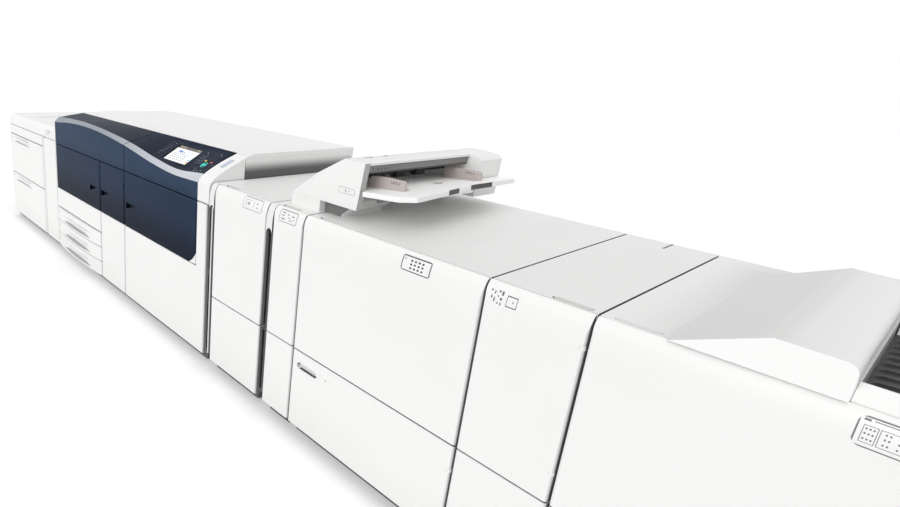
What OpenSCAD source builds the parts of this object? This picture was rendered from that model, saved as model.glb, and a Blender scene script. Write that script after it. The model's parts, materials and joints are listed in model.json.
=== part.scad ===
// Digital production printer: one line of floor-standing units, built up from
// left to right as paper feeder, print engine, interface unit, bridge unit with
// sheet inserter, stacker, folder and finisher.
// x runs along the line, y from the front faces to the back, z up from the floor.

/* [Line] */
// Depth of every unit, from its front face to its rear cover
depth = 1000; // [900:10:1150]
// Height of the top of the low units
height = 1000; // [960:5:1060]
// Height of the lower edge of the front panels
panel_foot = 60; // [50:1:80]
// Seam between upper doors and lower panels, as a share of the height
lower_seam_share = 0.421; // [0.38:0.001:0.47]
// Open seam between neighbouring panels
seam = 6; // [4:0.5:7]
// Distance from the front face to the inner front panels
bay = 70; // [66:1:90]

/* [Doors] */
// Thickness of a door or a front panel
door_t = 26; // [24:1:30]
// Radius of the soft vertical edges, which is also where the hinge axis lies
edge_r = 11; // [10:0.5:12]
// How far a door's top edge rolls back over the unit
nose_d = 30; // [28:1:32]
// Height over which that edge curves
nose_h = 80; // [60:1:100]
// Radius of a hinge pin
pin_r = 4; // [3:0.25:4.5]
// Height of a hinge pocket
pocket_h = 12; // [10:0.5:20]

/* [Paper feeder] */
// Width of the feeder
feeder_w = 1263; // [1150:1:1400]
// Width of the feeder's two drawers
feeder_drawer_w = 945; // [800:1:980]
// Width of the plain stile between drawers and column cover
stile_w = 36; // [20:1:60]
// Height of the front of the feeder's top cover
feeder_cover_h = 97; // [90:1:115]
// Seam between header and upper drawer, as a share of the height
feeder_header_share = 0.818; // [0.79:0.001:0.84]
// Seam between the two feeder drawers, as a share of the height
feeder_mid_share = 0.45; // [0.4:0.001:0.5]

/* [Print engine] */
// Width of the print engine
engine_w = 2209; // [2050:1:2400]
// Height of the engine's roof above the tops of the low units
engine_rise = 128; // [125:1:150]
// Width of the drawer column and of the left navy door
drawer_w = 867; // [780:1:900]
// Width of the middle door
middle_w = 376; // [330:1:420]
// Width of the white column at the engine's right end
column_w = 111; // [90:1:140]
// Width of the white strip at the engine's left end
strip_w = 14; // [12:1:20]
// Lower edge of the navy doors, as a share of the height
navy_foot_share = 0.539; // [0.52:0.001:0.56]
// Seam between the navy doors and the hoods above, as a share of the height
navy_seam_share = 0.888; // [0.875:0.001:0.9]
// Depth of the navy hoods, from the front to the roof
navy_d = 240; // [210:1:260]
// Height of the navy hoods' rear edge above the tops of the low units
navy_rise = 120; // [117:1:123]
// Lowest point of the silver band's front edge, as a share of the height
band_low_share = 0.974; // [0.96:0.001:0.985]
// Rise of the silver band from its lowest to its highest point
band_rise = 113; // [90:1:118]
// Depth of the sloping band
band_d = 40; // [30:1:50]
// Largest rise of the band from its front edge to its back edge
band_back_rise = 38; // [24:1:38]
// Radius of the right door's lower outer corner
navy_corner_r = 100; // [60:1:115]
// Wall of the hoods
hood_t = 8; // [6:0.5:10]
// Top seam of the paper drawers, as a share of the height
drawers_top_share = 0.384; // [0.37:0.001:0.4]
// How far the paper drawers' fronts bulge out
drawer_bulge = 22; // [14:1:26]

/* [Control panel] */
// Width of the touch screen's housing
screen_w = 242; // [200:1:260]
// Length of the touch screen's housing up the slope
screen_l = 138; // [120:1:150]
// Thickness of the touch screen's housing
screen_t = 12; // [10:1:16]
// Length of the start button
start_l = 34; // [24:1:40]
// Width of the start button
start_w = 20; // [16:1:24]
// Radius of the stop and clear buttons
button_r = 8; // [6:0.5:10]
// Travel of a button
button_travel = 2.5; // [1.5:0.5:3]

/* [Units after the engine] */
// Gap between the engine and the interface unit, and between that and the bridge
dock_gap = 43; // [36:1:52]
// Width of the interface unit
interface_w = 403; // [360:1:450]
// Width of the bridge unit
bridge_w = 187; // [178:1:230]
// Width of the stacker
stacker_w = 789; // [720:1:860]
// Width of the folder
folder_w = 296; // [260:1:340]
// Width of the finisher
finisher_w = 1100; // [1050:1:1300]
// Thickness of a top cover
cover_t = 16; // [12:1:20]
// Width of the grip slot in a top cover
grip_w = 24; // [20:1:26]
// Length of the grip slot in a top cover
grip_l = 108; // [90:1:110]

/* [Finisher top] */
// Distance from the finisher's left side to the foot of its hood's ramp
ramp_x = 148; // [142:1:170]
// Length of the ramp
ramp_l = 179; // [150:1:190]
// Length of the hood's flat top and rounded end
hood_top_l = 130; // [115:1:150]
// Height of the hood above the unit's top
hood_h = 84; // [70:1:100]
// Distance from the hood's rear face to the back of the unit
hood_back = 135; // [110:1:170]
// Height of the rail round the output tray above the unit's top
rail_h = 30; // [20:1:40]
// Depth of the output well below the unit's top
well_d = 84; // [60:1:100]

/* [Sheet inserter] */
// Height of the inserter's top above the bridge unit
inserter_h = 239; // [230:1:250]
// Distance from the front face to the near pod
near_pod_y = 100; // [80:1:120]
// Thickness of the near pod above its tray
near_pod_d = 30; // [26:1:40]
// Distance from the front face to the far pod
far_pod_y = 780; // [760:1:800]
// Depth of the far pod
far_pod_d = 172; // [150:1:190]
// Tilt of the inserter's tray, outer end up
tray_tilt = 5; // [3:0.5:7]
// Thickness of the tray
tray_t = 20; // [14:1:24]
// How far the tray reaches beyond the near pod
tray_reach = 228; // [190:1:240]
// Height of the paper guides
guide_h = 45; // [35:1:50]

/* [Hidden] */
$fn = 48;

// Clearances and overruns shared by the whole line
cut = 1;
fit = 0.3;
running = 0.05;
half = seam / 2;
wall = 4;
plate_t = 20;
rear_t = 14;
back_y = depth - rear_t;
flange_y = nose_d + seam;

// Heights of the seams
lower_seam_z = height * lower_seam_share;
feeder_cover_z = height - feeder_cover_h;
feeder_header_z = height * feeder_header_share;
feeder_mid_z = height * feeder_mid_share;
engine_h = height + engine_rise;
navy_foot_z = height * navy_foot_share;
navy_seam_z = height * navy_seam_share;
navy_top_z = height + navy_rise;
band_low_z = height * band_low_share;
drawers_top_z = height * drawers_top_share;

// Where each unit starts and ends along the line
engine_x = feeder_w;
engine_end = engine_x + engine_w;
interface_x = engine_end + dock_gap;
interface_end = interface_x + interface_w;
bridge_x = interface_end + dock_gap;
stacker_x = bridge_x + bridge_w;
folder_x = stacker_x + stacker_w;
finisher_x = folder_x + folder_w;
line_w = finisher_x + finisher_w;
// Rows of left and right ends, one for each unit, in order along the line
UNITS = [[0, feeder_w], [engine_x, engine_end], [interface_x, interface_end],
    [bridge_x, stacker_x], [stacker_x, folder_x], [folder_x, finisher_x],
    [finisher_x, line_w]];

// Colours, as red, green and blue shares
white_shares = [0.93, 0.93, 0.93];
top_shares = [0.86, 0.86, 0.85];
grey_shares = [0.62, 0.62, 0.61];
dark_shares = [0.16, 0.16, 0.17];
navy_shares = [0.2, 0.25, 0.34];
silver_shares = [0.72, 0.74, 0.78];
beige_shares = [0.78, 0.75, 0.73];

// What lies outside a rounded corner at x, z, from y0 to y1. The signs say to which side
// the corner points.
module outside_corner(x, z, r, sx, sz, y0, y1) translate([x, 0, z]) difference() {
    along_y(y0, y1) polygon([[0, 0], [-sx * r, 0], [-sx * r, -sz * r], [0, -sz * r]]
        + cut * [[sx, sz], [0, sz], [0, 0], [sx, 0]]);
    translate([-sx * r, y0 - cut, -sz * r]) rotate([-90, 0, 0])
        cylinder(r = r, h = y1 - y0 + 2 * cut, $fn = 96);
}

// Moves the line so that its origin is the centre of the space it fills, on the floor
module line() translate([-line_w / 2, -(depth - drawer_bulge) / 2, 0]) children();

// Extrudes a side view, drawn as y and z, along the line from x0 to x1
module along_x(x0, x1) translate([x0, 0, 0]) rotate([90, 0, 90])
    linear_extrude(x1 - x0) children();

// Extrudes a front view, drawn as x and z, from y0 to y1
module along_y(y0, y1) translate([0, y1, 0]) rotate([90, 0, 0])
    linear_extrude(y1 - y0) children();

// A box between two opposite corners
module block(a, b) translate(a) cube(b - a);

// A closed sheet-metal box
module closed_box(a, b) difference() {
    block(a, b);
    block(a + [wall, wall, wall], b - [wall, wall, wall]);
}

// A round-ended slot, drawn about its centre
module slot_outline(l, w) {
    square([l - w, w], center = true);
    for (s = [-1, 1]) translate([s * (l - w) / 2, 0]) circle(w / 2);
}

// Doors and front panels

nose_steps = 10;
relief_rim = 34;
relief_d = 5;
relief_pitch = 260;
rib_t = 14;
boss_w = 24;
arm_r = 7;
arm_t = pocket_h - 2 * fit;
pocket_w = arm_r + 2 * fit;
knuckle_r = edge_r - fit;
hinge_inset = 90;

// Plan of a door: a slab with both front corners rounded
module slab_plan(w, d) {
    translate([0, edge_r]) square([w, d - edge_r]);
    translate([edge_r, 0]) square([w - 2 * edge_r, d]);
    for (x = [edge_r, w - edge_r]) translate([x, edge_r]) circle(edge_r);
}

// Side view of a panel whose top edge rolls back in a quarter of an ellipse
module nose_side(z0, z1, back) polygon(concat([[0, z0]],
    [for (i = [0 : nose_steps]) let (a = 90 * i / nose_steps)
        [nose_d * (1 - cos(a)), z1 - nose_h * (1 - sin(a))]],
    [[back, z1], [back, z1 - nose_h], [door_t, z1 - nose_h], [door_t, z0]]));

// Slab of a door between its seams, with or without the rolled top edge
module panel_blank(x0, x1, z0, z1, nose = false) {
    if (nose) intersection() {
        translate([x0 + half, 0, z0 + half]) linear_extrude(z1 - z0 - half)
            slab_plan(x1 - x0 - seam, nose_d);
        along_x(x0, x1) nose_side(z0, z1, nose_d);
    }
    else translate([x0 + half, 0, z0 + half]) linear_extrude(z1 - z0 - seam)
        slab_plan(x1 - x0 - seam, door_t);
}

// Recessed fields between the ribs on the back of a panel
module back_relief(x0, x1, z0, z1) {
    w = x1 - x0 - 2 * relief_rim;
    count = max(1, round(w / relief_pitch));
    pitch = (w + rib_t) / count;
    for (i = [0 : count - 1])
        translate([x0 + relief_rim + i * pitch, door_t - relief_d, z0 + relief_rim])
            cube([pitch - rib_t, relief_d + cut, z1 - z0 - 2 * relief_rim]);
}

// Where a door's pin stands: side is -1 for a hinge at the left, 1 at the right
function pivot_x(x0, x1, side) = side < 0 ? x0 + half + edge_r : x1 - half - edge_r;

// Cuts a door's two hinge pockets and stands a pin in each
module hinged(x0, x1, side, heights) {
    px = pivot_x(x0, x1, side);
    difference() {
        children();
        for (z = heights) translate([px, edge_r, z]) {
            cylinder(r = edge_r + fit, h = pocket_h);
            translate([side < 0 ? -edge_r - cut : -pocket_w, -pocket_w, 0])
                cube([edge_r + cut + pocket_w, nose_d, pocket_h]);
        }
    }
    for (z = heights) translate([px, edge_r, z]) cylinder(r = pin_r, h = pocket_h);
}

// A frame's arms, which hold a door's pins
module hinge_arms(x0, x1, side, heights, root_y = bay) {
    px = pivot_x(x0, x1, side);
    for (z = heights) translate([px, edge_r, z + fit]) difference() {
        union() {
            translate([-arm_r, 0, 0]) cube([2 * arm_r, root_y - edge_r + wall / 2, arm_t]);
            // Its knuckle fills the door's soft edge
            cylinder(r = knuckle_r, h = arm_t);
        }
        translate([0, 0, -cut]) cylinder(r = pin_r + running, h = arm_t + 2 * cut);
    }
}

function hinge_heights(z0, z1) = [z0 + hinge_inset, z1 - hinge_inset - pocket_h];
// The pockets of a rolled door keep below its curved top edge
function rolled_heights(z0, z1) = [z0 + hinge_inset, z1 - nose_h - pocket_h - seam];

// A fixed front panel with four bosses that seat on the frame behind it
module fixed_panel(x0, x1, z0, z1) {
    difference() {
        panel_blank(x0, x1, z0, z1);
        back_relief(x0, x1, z0, z1);
    }
    for (x = [x0 + half, x1 - half - boss_w], z = [z0 + half, z1 - half - boss_w])
        block([x, door_t - relief_d, z], [x + boss_w, flange_y, z + boss_w]);
}

// Sheet-metal body of a low unit: closed, with a shallow bay behind its doors
module carcass(x0, x1, z0, z1) difference() {
    block([x0 + half, flange_y, z0], [x1 - half, back_y, z1]);
    block([x0 + half + wall, flange_y - cut, z0 + wall],
        [x1 - half - wall, bay, z1 - wall]);
    block([x0 + half + wall, bay + wall, z0 + wall],
        [x1 - half - wall, back_y - wall, z1 - wall]);
}

// Docking collar that carries the paper path across the gap to the unit on the left
collar_z_share = 0.62;
collar_h = 90;
collar_y_share = 0.2;
module docking_collar(x, gap) {
    low = [x - gap + fit, depth * collar_y_share, height * collar_z_share];
    high = [x + half, depth * (1 - collar_y_share), height * collar_z_share + collar_h];
    difference() {
        block(low, high);
        block(low + [-cut, wall, wall], high + [cut, -wall, -wall]);
    }
}

// Top cover of a low unit, with a grip slot behind the door's rolled edge
grip_inset = 3;
module top_cover(x0, x1, grip_x) {
    difference() {
        block([x0 + half, flange_y, height - cover_t], [x1 - half, depth, height]);
        translate([grip_x, flange_y + grip_inset + grip_w / 2, height - cover_t - cut])
            linear_extrude(cover_t + 2 * cut) slot_outline(grip_l, grip_w);
    }
}

// Cap that closes the top of a docking gap, in line with the rolled door edges
cap_drop = 120;
cap_lap = 12;
module gap_cap(x0, x1) difference() {
    along_x(x0 + half, x1 + half - fit)
        nose_side_short(height - cap_drop, height, nose_d + cap_lap);
    // Its foot is arched
    translate([(x0 + x1) / 2 + half, -cut, height - cap_drop]) rotate([-90, 0, 0])
        cylinder(r = (x1 - x0) / 2 - wall, h = nose_d);
}
module nose_side_short(z0, z1, back) polygon(concat([[0, z0]],
    [for (i = [0 : nose_steps]) let (a = 90 * i / nose_steps)
        [nose_d * (1 - cos(a)), z1 - nose_h * (1 - sin(a))]],
    [[back, z1], [back, z1 - cover_t], [door_t, z1 - cover_t], [door_t, z0]]));

// Paper feeder

tray_wall = 6;
drawer_gap = 60;
tray_back_share = 0.78;
feeder_tray_back = depth * tray_back_share;
feeder_bay_w = feeder_drawer_w - half;

// Panels that make up a bay for drawers: sides, back and one shelf under each drawer
module drawer_bay(x0, x1, tray_back, shelves, top) {
    back = tray_back + drawer_gap;
    closed_box([x0, back + fit, panel_foot], [x1, back_y, top]);
    for (z = shelves) block([x0 + plate_t + fit, flange_y, z - tray_wall],
        [x1 - plate_t - fit, back, z]);
    for (x = [x0, x1 - plate_t])
        block([x, flange_y, panel_foot], [x + plate_t, back, top]);
}

module feeder_frame() color(grey_shares) line() {
    box_top = height - cover_t;
    closed_box([half, flange_y, feeder_header_z + fit],
        [feeder_bay_w - fit, back_y, box_top]);
    closed_box([feeder_bay_w, flange_y, panel_foot], [feeder_w - half, back_y, box_top]);
    drawer_bay(half, feeder_bay_w - fit, feeder_tray_back,
        [panel_foot + tray_wall, feeder_mid_z], feeder_header_z);
}

// Top cover with the sunk bypass tray and the raised block at its back
bypass_x_share = 0.3;
bypass_l_share = 0.6;
bypass_y = 130;
bypass_d = 480;
bypass_sink = 10;
riser_h = 46;
riser_d = 210;
riser_slope = 60;
module feeder_top_cover() color(white_shares) line() {
    x1 = feeder_w - half;
    difference() {
        union() {
            intersection() {
                along_x(half, x1) nose_side_short(feeder_cover_z + half, height, depth);
                translate([half, 0, feeder_cover_z]) linear_extrude(height)
                    slab_plan(feeder_w - seam, depth);
            }
            for (x = [half, x1 - boss_w])
                block([x, door_t - relief_d, feeder_cover_z + half],
                    [x + boss_w, flange_y, feeder_cover_z + half + boss_w]);
        }
        translate([feeder_w * bypass_x_share, bypass_y, height - bypass_sink])
            cube([feeder_w * bypass_l_share, bypass_d, bypass_sink + cut]);
    }
    along_x(feeder_w * bypass_x_share, x1) polygon([
        [back_y - riser_d - riser_slope, height - cut], [back_y - riser_d, height + riser_h],
        [depth, height + riser_h], [depth, height - cut]]);
}

// Header panel above the drawers, and the stile beside them
module feeder_header() color(white_shares) line() {
    fixed_panel(0, feeder_drawer_w, feeder_header_z, feeder_cover_z);
    panel_blank(feeder_drawer_w, feeder_drawer_w + stile_w, panel_foot, feeder_cover_z);
    for (z = [panel_foot + half, feeder_cover_z - half - boss_w])
        block([feeder_drawer_w + half, door_t - relief_d, z],
            [feeder_drawer_w + half + boss_w, flange_y, z + boss_w]);
}

column_corner_r = 45;
module feeder_column_cover() color(white_shares) line() difference() {
    x0 = feeder_drawer_w + stile_w;
    fixed_panel(x0, feeder_w, panel_foot, feeder_cover_z);
    outside_corner(x0 + half, feeder_cover_z - half, column_corner_r, -1, 1, -cut, flange_y + cut);
}

// Finger scoops of the feeder's and the engine's drawers: place along the front and height
// on it as shares, length as a share, depth, and radius of the groove
feeder_scoop = [0.38, 0.88, 0.5, 10, 34];
paper_scoop = [0.5, 0.4, 0.62, 18, 32];

// What a scoop removes from a front that bulges by b: a groove that fades out at its ends
module scoop(x0, x1, z0, z1, b, values) {
    w = x1 - x0;
    d = values[3];
    r = values[4];
    chord = w * values[2] / 2;
    // How far the groove sinks from its ends to its middle, and the radius of that arc
    sink = d - b * values[2] ^ 2;
    arc_r = (chord ^ 2 + sink ^ 2) / (2 * sink);
    translate([x0 + w * values[0], d - b, z0 + (z1 - z0) * values[1]]) intersection() {
        translate([0, -arc_r, -r]) cylinder(r = arc_r, h = 2 * r, $fn = 360);
        translate([-chord, -r, 0]) rotate([0, 90, 0]) cylinder(r = r, h = 2 * chord);
    }
}

// A drawer: an open tray behind a front that may bulge and has a finger scoop
arc_steps = 16;
front_soft = 5;
tray_top_gap = 40;
function bulge_points(w, b) = [for (i = [0 : arc_steps]) let (s = i / arc_steps)
    [w * s, -b * (1 - (2 * s - 1) ^ 2)]];
module drawer(x0, x1, z0, z1, bulge, grip, bay_x0, bay_x1, tray_back) {
    w = x1 - x0 - seam;
    tray_x = bay_x0 + plate_t + half;
    tray_x1 = bay_x1 - plate_t - half;
    tray_z = z0 + fit + (z0 - panel_foot < half ? tray_wall : 0);
    top = z1 - tray_top_gap;
    difference() {
        translate([x0 + half, 0, z0 + half]) linear_extrude(z1 - z0 - seam) polygon(concat(
            [[0, door_t], [0, front_soft]],
            [for (p = bulge_points(w - 2 * front_soft, bulge)) p + [front_soft, 0]],
            [[w, front_soft], [w, door_t]]));
        scoop(x0, x1, z0, z1, bulge, grip);
    }
    difference() {
        block([tray_x, door_t - relief_d, tray_z], [tray_x1, tray_back, top]);
        block([tray_x + tray_wall, door_t + tray_wall, tray_z + tray_wall],
            [tray_x1 - tray_wall, tray_back - tray_wall, top + cut]);
    }
}

module feeder_upper_drawer() color(white_shares) line()
    drawer(0, feeder_drawer_w, feeder_mid_z, feeder_header_z, 0, feeder_scoop, half,
        feeder_bay_w - fit, feeder_tray_back);

module feeder_lower_drawer() color(white_shares) line()
    drawer(0, feeder_drawer_w, panel_foot, feeder_mid_z, 0, feeder_scoop, half,
        feeder_bay_w - fit, feeder_tray_back);

// Print engine

middle_x = engine_x + drawer_w;
right_x = middle_x + middle_w;
navy_x = engine_x + strip_w;
navy_end = engine_end - column_w;
side_t = 12;
roof_t = 24;
box_x = engine_x + half + side_t;
box_end = engine_end - half - side_t;
column_end = box_end - half;
drawer_h = (drawers_top_z - panel_foot) / 3;
engine_tray_back_share = 0.62;
engine_tray_back = depth * engine_tray_back_share;
toner_shelf_share = 0.932;
toner_shelf_z = height * toner_shelf_share;
toner_r = 46;
toner_count = 4;
// Height at which the toner cartridges' axes lie
toner_z = toner_shelf_z + toner_r + fit;
toner_l = 560;
toner_front = 66;
function toner_x(i) = navy_x + (right_x - navy_x) * (i + 0.5) / toner_count;
hood_clearance = 8;
rear_box_y = navy_d + hood_clearance;
rear_box_top = engine_h - roof_t;
hood_axis_y = navy_d - edge_r;
hood_axis_z = navy_top_z - edge_r;

module engine_frame() color(grey_shares) line() {
    top = drawers_top_z;
    difference() {
        closed_box([box_x, rear_box_y, top + fit], [box_end, back_y, rear_box_top]);
        for (i = [0 : toner_count - 1])
            translate([toner_x(i), rear_box_y - cut, toner_z]) rotate([-90, 0, 0])
                cylinder(r = toner_r + fit, h = wall + 2 * cut);
    }
    closed_box([box_x, bay, top + fit], [box_end, rear_box_y - fit, toner_shelf_z]);
    closed_box([middle_x + half, flange_y, panel_foot], [box_end, back_y, top]);
    drawer_bay(box_x, middle_x + half - fit, engine_tray_back,
        [for (i = [0 : 2]) panel_foot + i * drawer_h + (i == 0 ? tray_wall : 0)], top);
    // Posts that carry the door hinges and the fixed panels
    block([box_x, flange_y, top + fit], [box_x + plate_t, bay, toner_shelf_z]);
    block([right_x - plate_t, flange_y, top + fit], [right_x + plate_t, bay, toner_shelf_z]);
    block([navy_end - plate_t, flange_y, top + fit], [box_end, bay, toner_shelf_z]);
    hinge_arms(navy_x, middle_x, -1, door_heights, flange_y);
    hinge_arms(middle_x, right_x, 1, door_heights, flange_y);
    hinge_arms(right_x, navy_end, 1, door_heights, flange_y);
    // Headed pin of the transfer lever
    translate([lever_x, bay - 2 * lever_t, lever_z]) rotate([-90, 0, 0]) {
        cylinder(r = lever_pin_r, h = 2 * lever_t + cut);
        cylinder(r = lever_pin_r + wall, h = lever_t - 2 * fit);
    }
}
door_heights = hinge_heights(navy_foot_z + navy_corner_r + pocket_h - hinge_inset, navy_seam_z);

hood_pin_l = 20;

// Shaped ends of the engine, whose tops curve from the front up to the roof
side_y_share = 0.9;
side_y = navy_d * side_y_share;
end_steps = 12;
end_bend_y = 6;
left_rise = 50;
left_bend_z = 102;
right_rise = -18;
right_bend_z = 30;
end_back = [navy_d - half, navy_top_z - half];
// A curve from a to c that starts towards b
function bend(a, b, c) = [for (i = [0 : end_steps]) let (t = i / end_steps)
    (1 - t) ^ 2 * a + 2 * t * (1 - t) * b + t ^ 2 * c];
// Height of such a curve near its upper end, at a place y
function end_z(y, rise, bend_z) = let (t = sqrt(y / end_back[0]))
    (1 - t) ^ 2 * (height + rise) + 2 * t * (1 - t) * (height + bend_z) + t ^ 2 * end_back[1];
module engine_end(x0, x1, z0, rise, bend_z) along_x(x0, x1) polygon(concat(
    [[door_t, z0], [0, z0]],
    bend([0, height + rise], [end_bend_y, height + bend_z], end_back),
    [[end_back[0], toner_shelf_z + fit], [door_t, toner_shelf_z + fit]]));

// White side walls behind the shaped ends, the left one with the hood pin's hole
module side_cover(x, rise, bend_z) along_x(x, x + side_t - fit) polygon([
    [side_y, panel_foot], [side_y, end_z(side_y, rise, bend_z)], end_back,
    [end_back[0], rear_box_top], [back_y, rear_box_top], [back_y, panel_foot]]);
module engine_side_covers() color(white_shares) line() {
    difference() {
        side_cover(engine_x + half, left_rise, left_bend_z);
        translate([engine_x, hood_axis_y, hood_axis_z]) rotate([0, 90, 0])
            cylinder(r = pin_r + running, h = strip_w + plate_t);
    }
    side_cover(box_end + fit, right_rise, right_bend_z);
    docking_collar(engine_x, half);
}

// Roof in two lids, with their front edge falling to the hoods
roof_fall = 18;
module engine_roof_covers() color(top_shares) line()
    for (e = [[engine_x, right_x], [right_x, engine_end]])
        along_x(e[0] + half / 2, e[1] - half / 2) polygon([
            [navy_d + half, rear_box_top + fit], [navy_d + half, navy_top_z],
            [navy_d + half + roof_fall, engine_h], [depth, engine_h],
            [depth, rear_box_top + fit]]);

// The ends stop short of the side walls that stand behind them
module behind_end(x) block([x, side_y - half, 0], [x + side_t + half, depth, 2 * height]);
module engine_left_end() color(white_shares) line() difference() {
    union() {
        engine_end(engine_x + half, navy_x - half, navy_foot_z + half, left_rise, left_bend_z);
        block([engine_x + half, door_t - relief_d, navy_foot_z + half],
            [box_x - fit, flange_y, navy_seam_z]);
    }
    behind_end(engine_x);
}

// Right end: the shoulder beside the control panel, with a well for the switch
switch_w = 27;
switch_l = 78;
switch_t = 14;
switch_proud = 2;
switch_share = 0.64;
switch_y = side_y * switch_share;
switch_travel = 3;
switch_chamfer = 3;
switch_tilt = atan((end_z(switch_y + wall, right_rise, right_bend_z)
    - end_z(switch_y, right_rise, right_bend_z)) / wall);
module on_switch() translate([(navy_end + engine_end) / 2, switch_y,
    end_z(switch_y, right_rise, right_bend_z) + switch_proud]) rotate([switch_tilt, 0, 0])
    children();

module engine_right_end() color(white_shares) line() {
    difference() {
        engine_end(navy_end + half, engine_end - half, navy_seam_z + half, right_rise,
            right_bend_z);
        on_switch() translate([0, 0, -switch_t - switch_travel])
            linear_extrude(switch_t + switch_l)
            square([switch_w + 2 * fit, switch_l + 2 * fit], center = true);
        behind_end(box_end);
    }
    block([navy_end + half, door_t - relief_d, navy_seam_z + half],
        [engine_end - half, flange_y, navy_seam_z + half + boss_w]);
}

module power_switch() color(silver_shares) line() on_switch()
    translate([0, 0, -switch_t]) linear_extrude(switch_t) difference() {
        square([switch_w, switch_l], center = true);
        for (sx = [-1, 1], sy = [-1, 1])
            translate([sx * switch_w / 2, sy * switch_l / 2]) circle(r = switch_chamfer, $fn = 4);
    }

// Navy hoods: ruled shells behind a silver band whose height follows a curve

// Height of the band's front edge, as shares of its rise, at even steps from left to right
band_shares = [0.70, 0.90, 1, 0.97, 0.82, 0.57, 0.24, 0.03, 0.07];
// Rise from the band's front edge to its back edge, as shares of its largest rise
back_shares = [1, 0.7, 0.5, 0.4, 0.4, 0.5, 0.5, 0.55, 1];
// Smooth curve through a table of shares at s, from 0 to 1
function smooth(t, s) = let (n = len(t) - 1, u = s * n, i = min(n - 1, floor(u)), f = u - i,
    a = t[max(0, i - 1)], b = t[i], c = t[i + 1], d = t[min(n, i + 2)])
    b + f * (c - a) / 2 + f ^ 2 * (a - 2.5 * b + 2 * c - d / 2)
    + f ^ 3 * (1.5 * (b - c) + (d - a) / 2);
function along(x) = (x - navy_x) / (navy_end - navy_x);
function band_z(x) = band_low_z + band_rise * smooth(band_shares, along(x));
function band_back_z(x) = band_z(x) + band_back_rise * smooth(back_shares, along(x));
band_y = 2;
band_t = 3;
// Direction in which the band's thickness lies, in y and z
band_lean = [-0.45, 0.89];
hood_stations = 20;
// Height of the control surface at a place
function console_z(x, y) = band_back_z(x)
    + (navy_top_z - band_back_z(x)) * (y - band_d) / (navy_d - band_d);

// Solid through sections of a sheet. Each section lists points in y and z: the first one
// outside, then all those inside, then the rest of those outside on the way back. The
// sides are cut into triangles, and turned says along which diagonal.
module loft(xs, sections, turned = false) {
    m = len(sections[0]);
    last = len(xs) - 1;
    ends = [for (q = [0 : m / 2 - 2]) [(m - q) % m, q + 1, q + 2, m - q - 1]];
    polyhedron(
        [for (i = [0 : last], p = sections[i]) [xs[i], p[0], p[1]]],
        concat(ends, [for (e = ends) [for (j = [3 : -1 : 0]) last * m + e[j]]],
            [for (i = [0 : last - 1], j = [0 : m - 1], second = [false, true])
                let (k = (j + 1) % m, a = i * m + j, b = i * m + k, c = a + m, d = b + m)
                turned ? (second ? [c, d, b] : [c, b, a]) : (second ? [c, d, a] : [d, b, a])]));
}
function stations(x0, x1) = [for (i = [0 : hood_stations]) x0 + (x1 - x0) * i / hood_stations];

// Shell of one hood between x0 and x1, with end walls and a barrel round the hinge axis
module hood_shell(x0, x1) {
    xs = stations(x0, x1);
    foot = navy_seam_z + half;
    t = hood_t;
    loft(xs, [for (x = xs) let (z = band_z(x), zb = band_back_z(x)) [[band_y, foot],
        [band_y + t, foot], [band_y + t, z - t / 2], [band_d + t / 2, zb - t],
        [hood_axis_y, navy_top_z - t], [hood_axis_y, navy_top_z], [band_d, zb],
        [band_y, z]]]);
    translate([x0, hood_axis_y, hood_axis_z]) rotate([0, 90, 0])
        cylinder(r = edge_r, h = x1 - x0);
    for (x = [x0 + fit, x1 - t - fit]) {
        z = min(band_z(x), band_z(x + t));
        zb = min(band_back_z(x), band_back_z(x + t));
        along_x(x, x + t) polygon([[band_y + t / 2, toner_shelf_z + seam],
            [band_y + t / 2, z - t / 4], [band_d, zb - t / 2],
            [hood_axis_y, navy_top_z - t / 2], [hood_axis_y, hood_axis_z - edge_r / 2],
            [navy_d / 2, toner_shelf_z + seam]]);
    }
}

module toner_hood() color(navy_shares) line() {
    hood_shell(navy_x + half, right_x - half);
    // Left pin in the side cover, right pin in the console's barrel
    translate([0, hood_axis_y, hood_axis_z]) rotate([0, 90, 0]) {
        translate([0, 0, engine_x + seam]) cylinder(r = pin_r, h = strip_w + seam);
        translate([0, 0, right_x - seam]) cylinder(r = pin_r, h = hood_pin_l);
    }
}

module console_cover() color(navy_shares) line() difference() {
    hood_shell(right_x + half, navy_end - half);
    on_screen() translate([0, 0, -screen_t - screen_l]) linear_extrude(2 * screen_l)
        square([screen_w + 2 * fit, screen_l + 2 * fit], center = true);
    for (b = BUTTONS) on_console(b[0], b[1]) translate([0, 0, -2 * key_l])
        linear_extrude(4 * key_l) key_outline(b[2], b[3], fit);
    translate([right_x, hood_axis_y, hood_axis_z]) rotate([0, 90, 0])
        cylinder(r = pin_r + running, h = hood_pin_l);
}

module band(x0, x1) {
    xs = stations(x0, x1);
    n = band_t * band_lean;
    loft(xs, [for (x = xs) let (a = [band_y, band_z(x)], b = [band_d, band_back_z(x)])
        [a, b, b + n, a + n]], true);
}

module trim_band_left() color(silver_shares) line() band(navy_x + half, right_x - half);
module trim_band_right() color(silver_shares) line() band(right_x + half, navy_end - half);

// Navy doors, each with a three-cornered finger recess

recess_w = 124;
recess_h = 38;
recess_d = 17;
recess_z_share = 0.694;
recess_z = height * recess_z_share;
recess_inset = 30;
left_recess_inset = 51;
middle_recess_inset = 20;
module navy_door(x0, x1, side, recess_x) {
    hinged(x0, x1, side, door_heights) difference() {
        children();
        back_relief(x0, x1, navy_foot_z + pocket_h, navy_seam_z - pocket_h);
        along_y(-cut, recess_d) polygon([[recess_x, recess_z],
            [recess_x + recess_w, recess_z], [recess_x + recess_w - seam, recess_z - seam],
            [recess_x + seam, recess_z - recess_h], [recess_x, recess_z - recess_h]]);
    }
}

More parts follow.
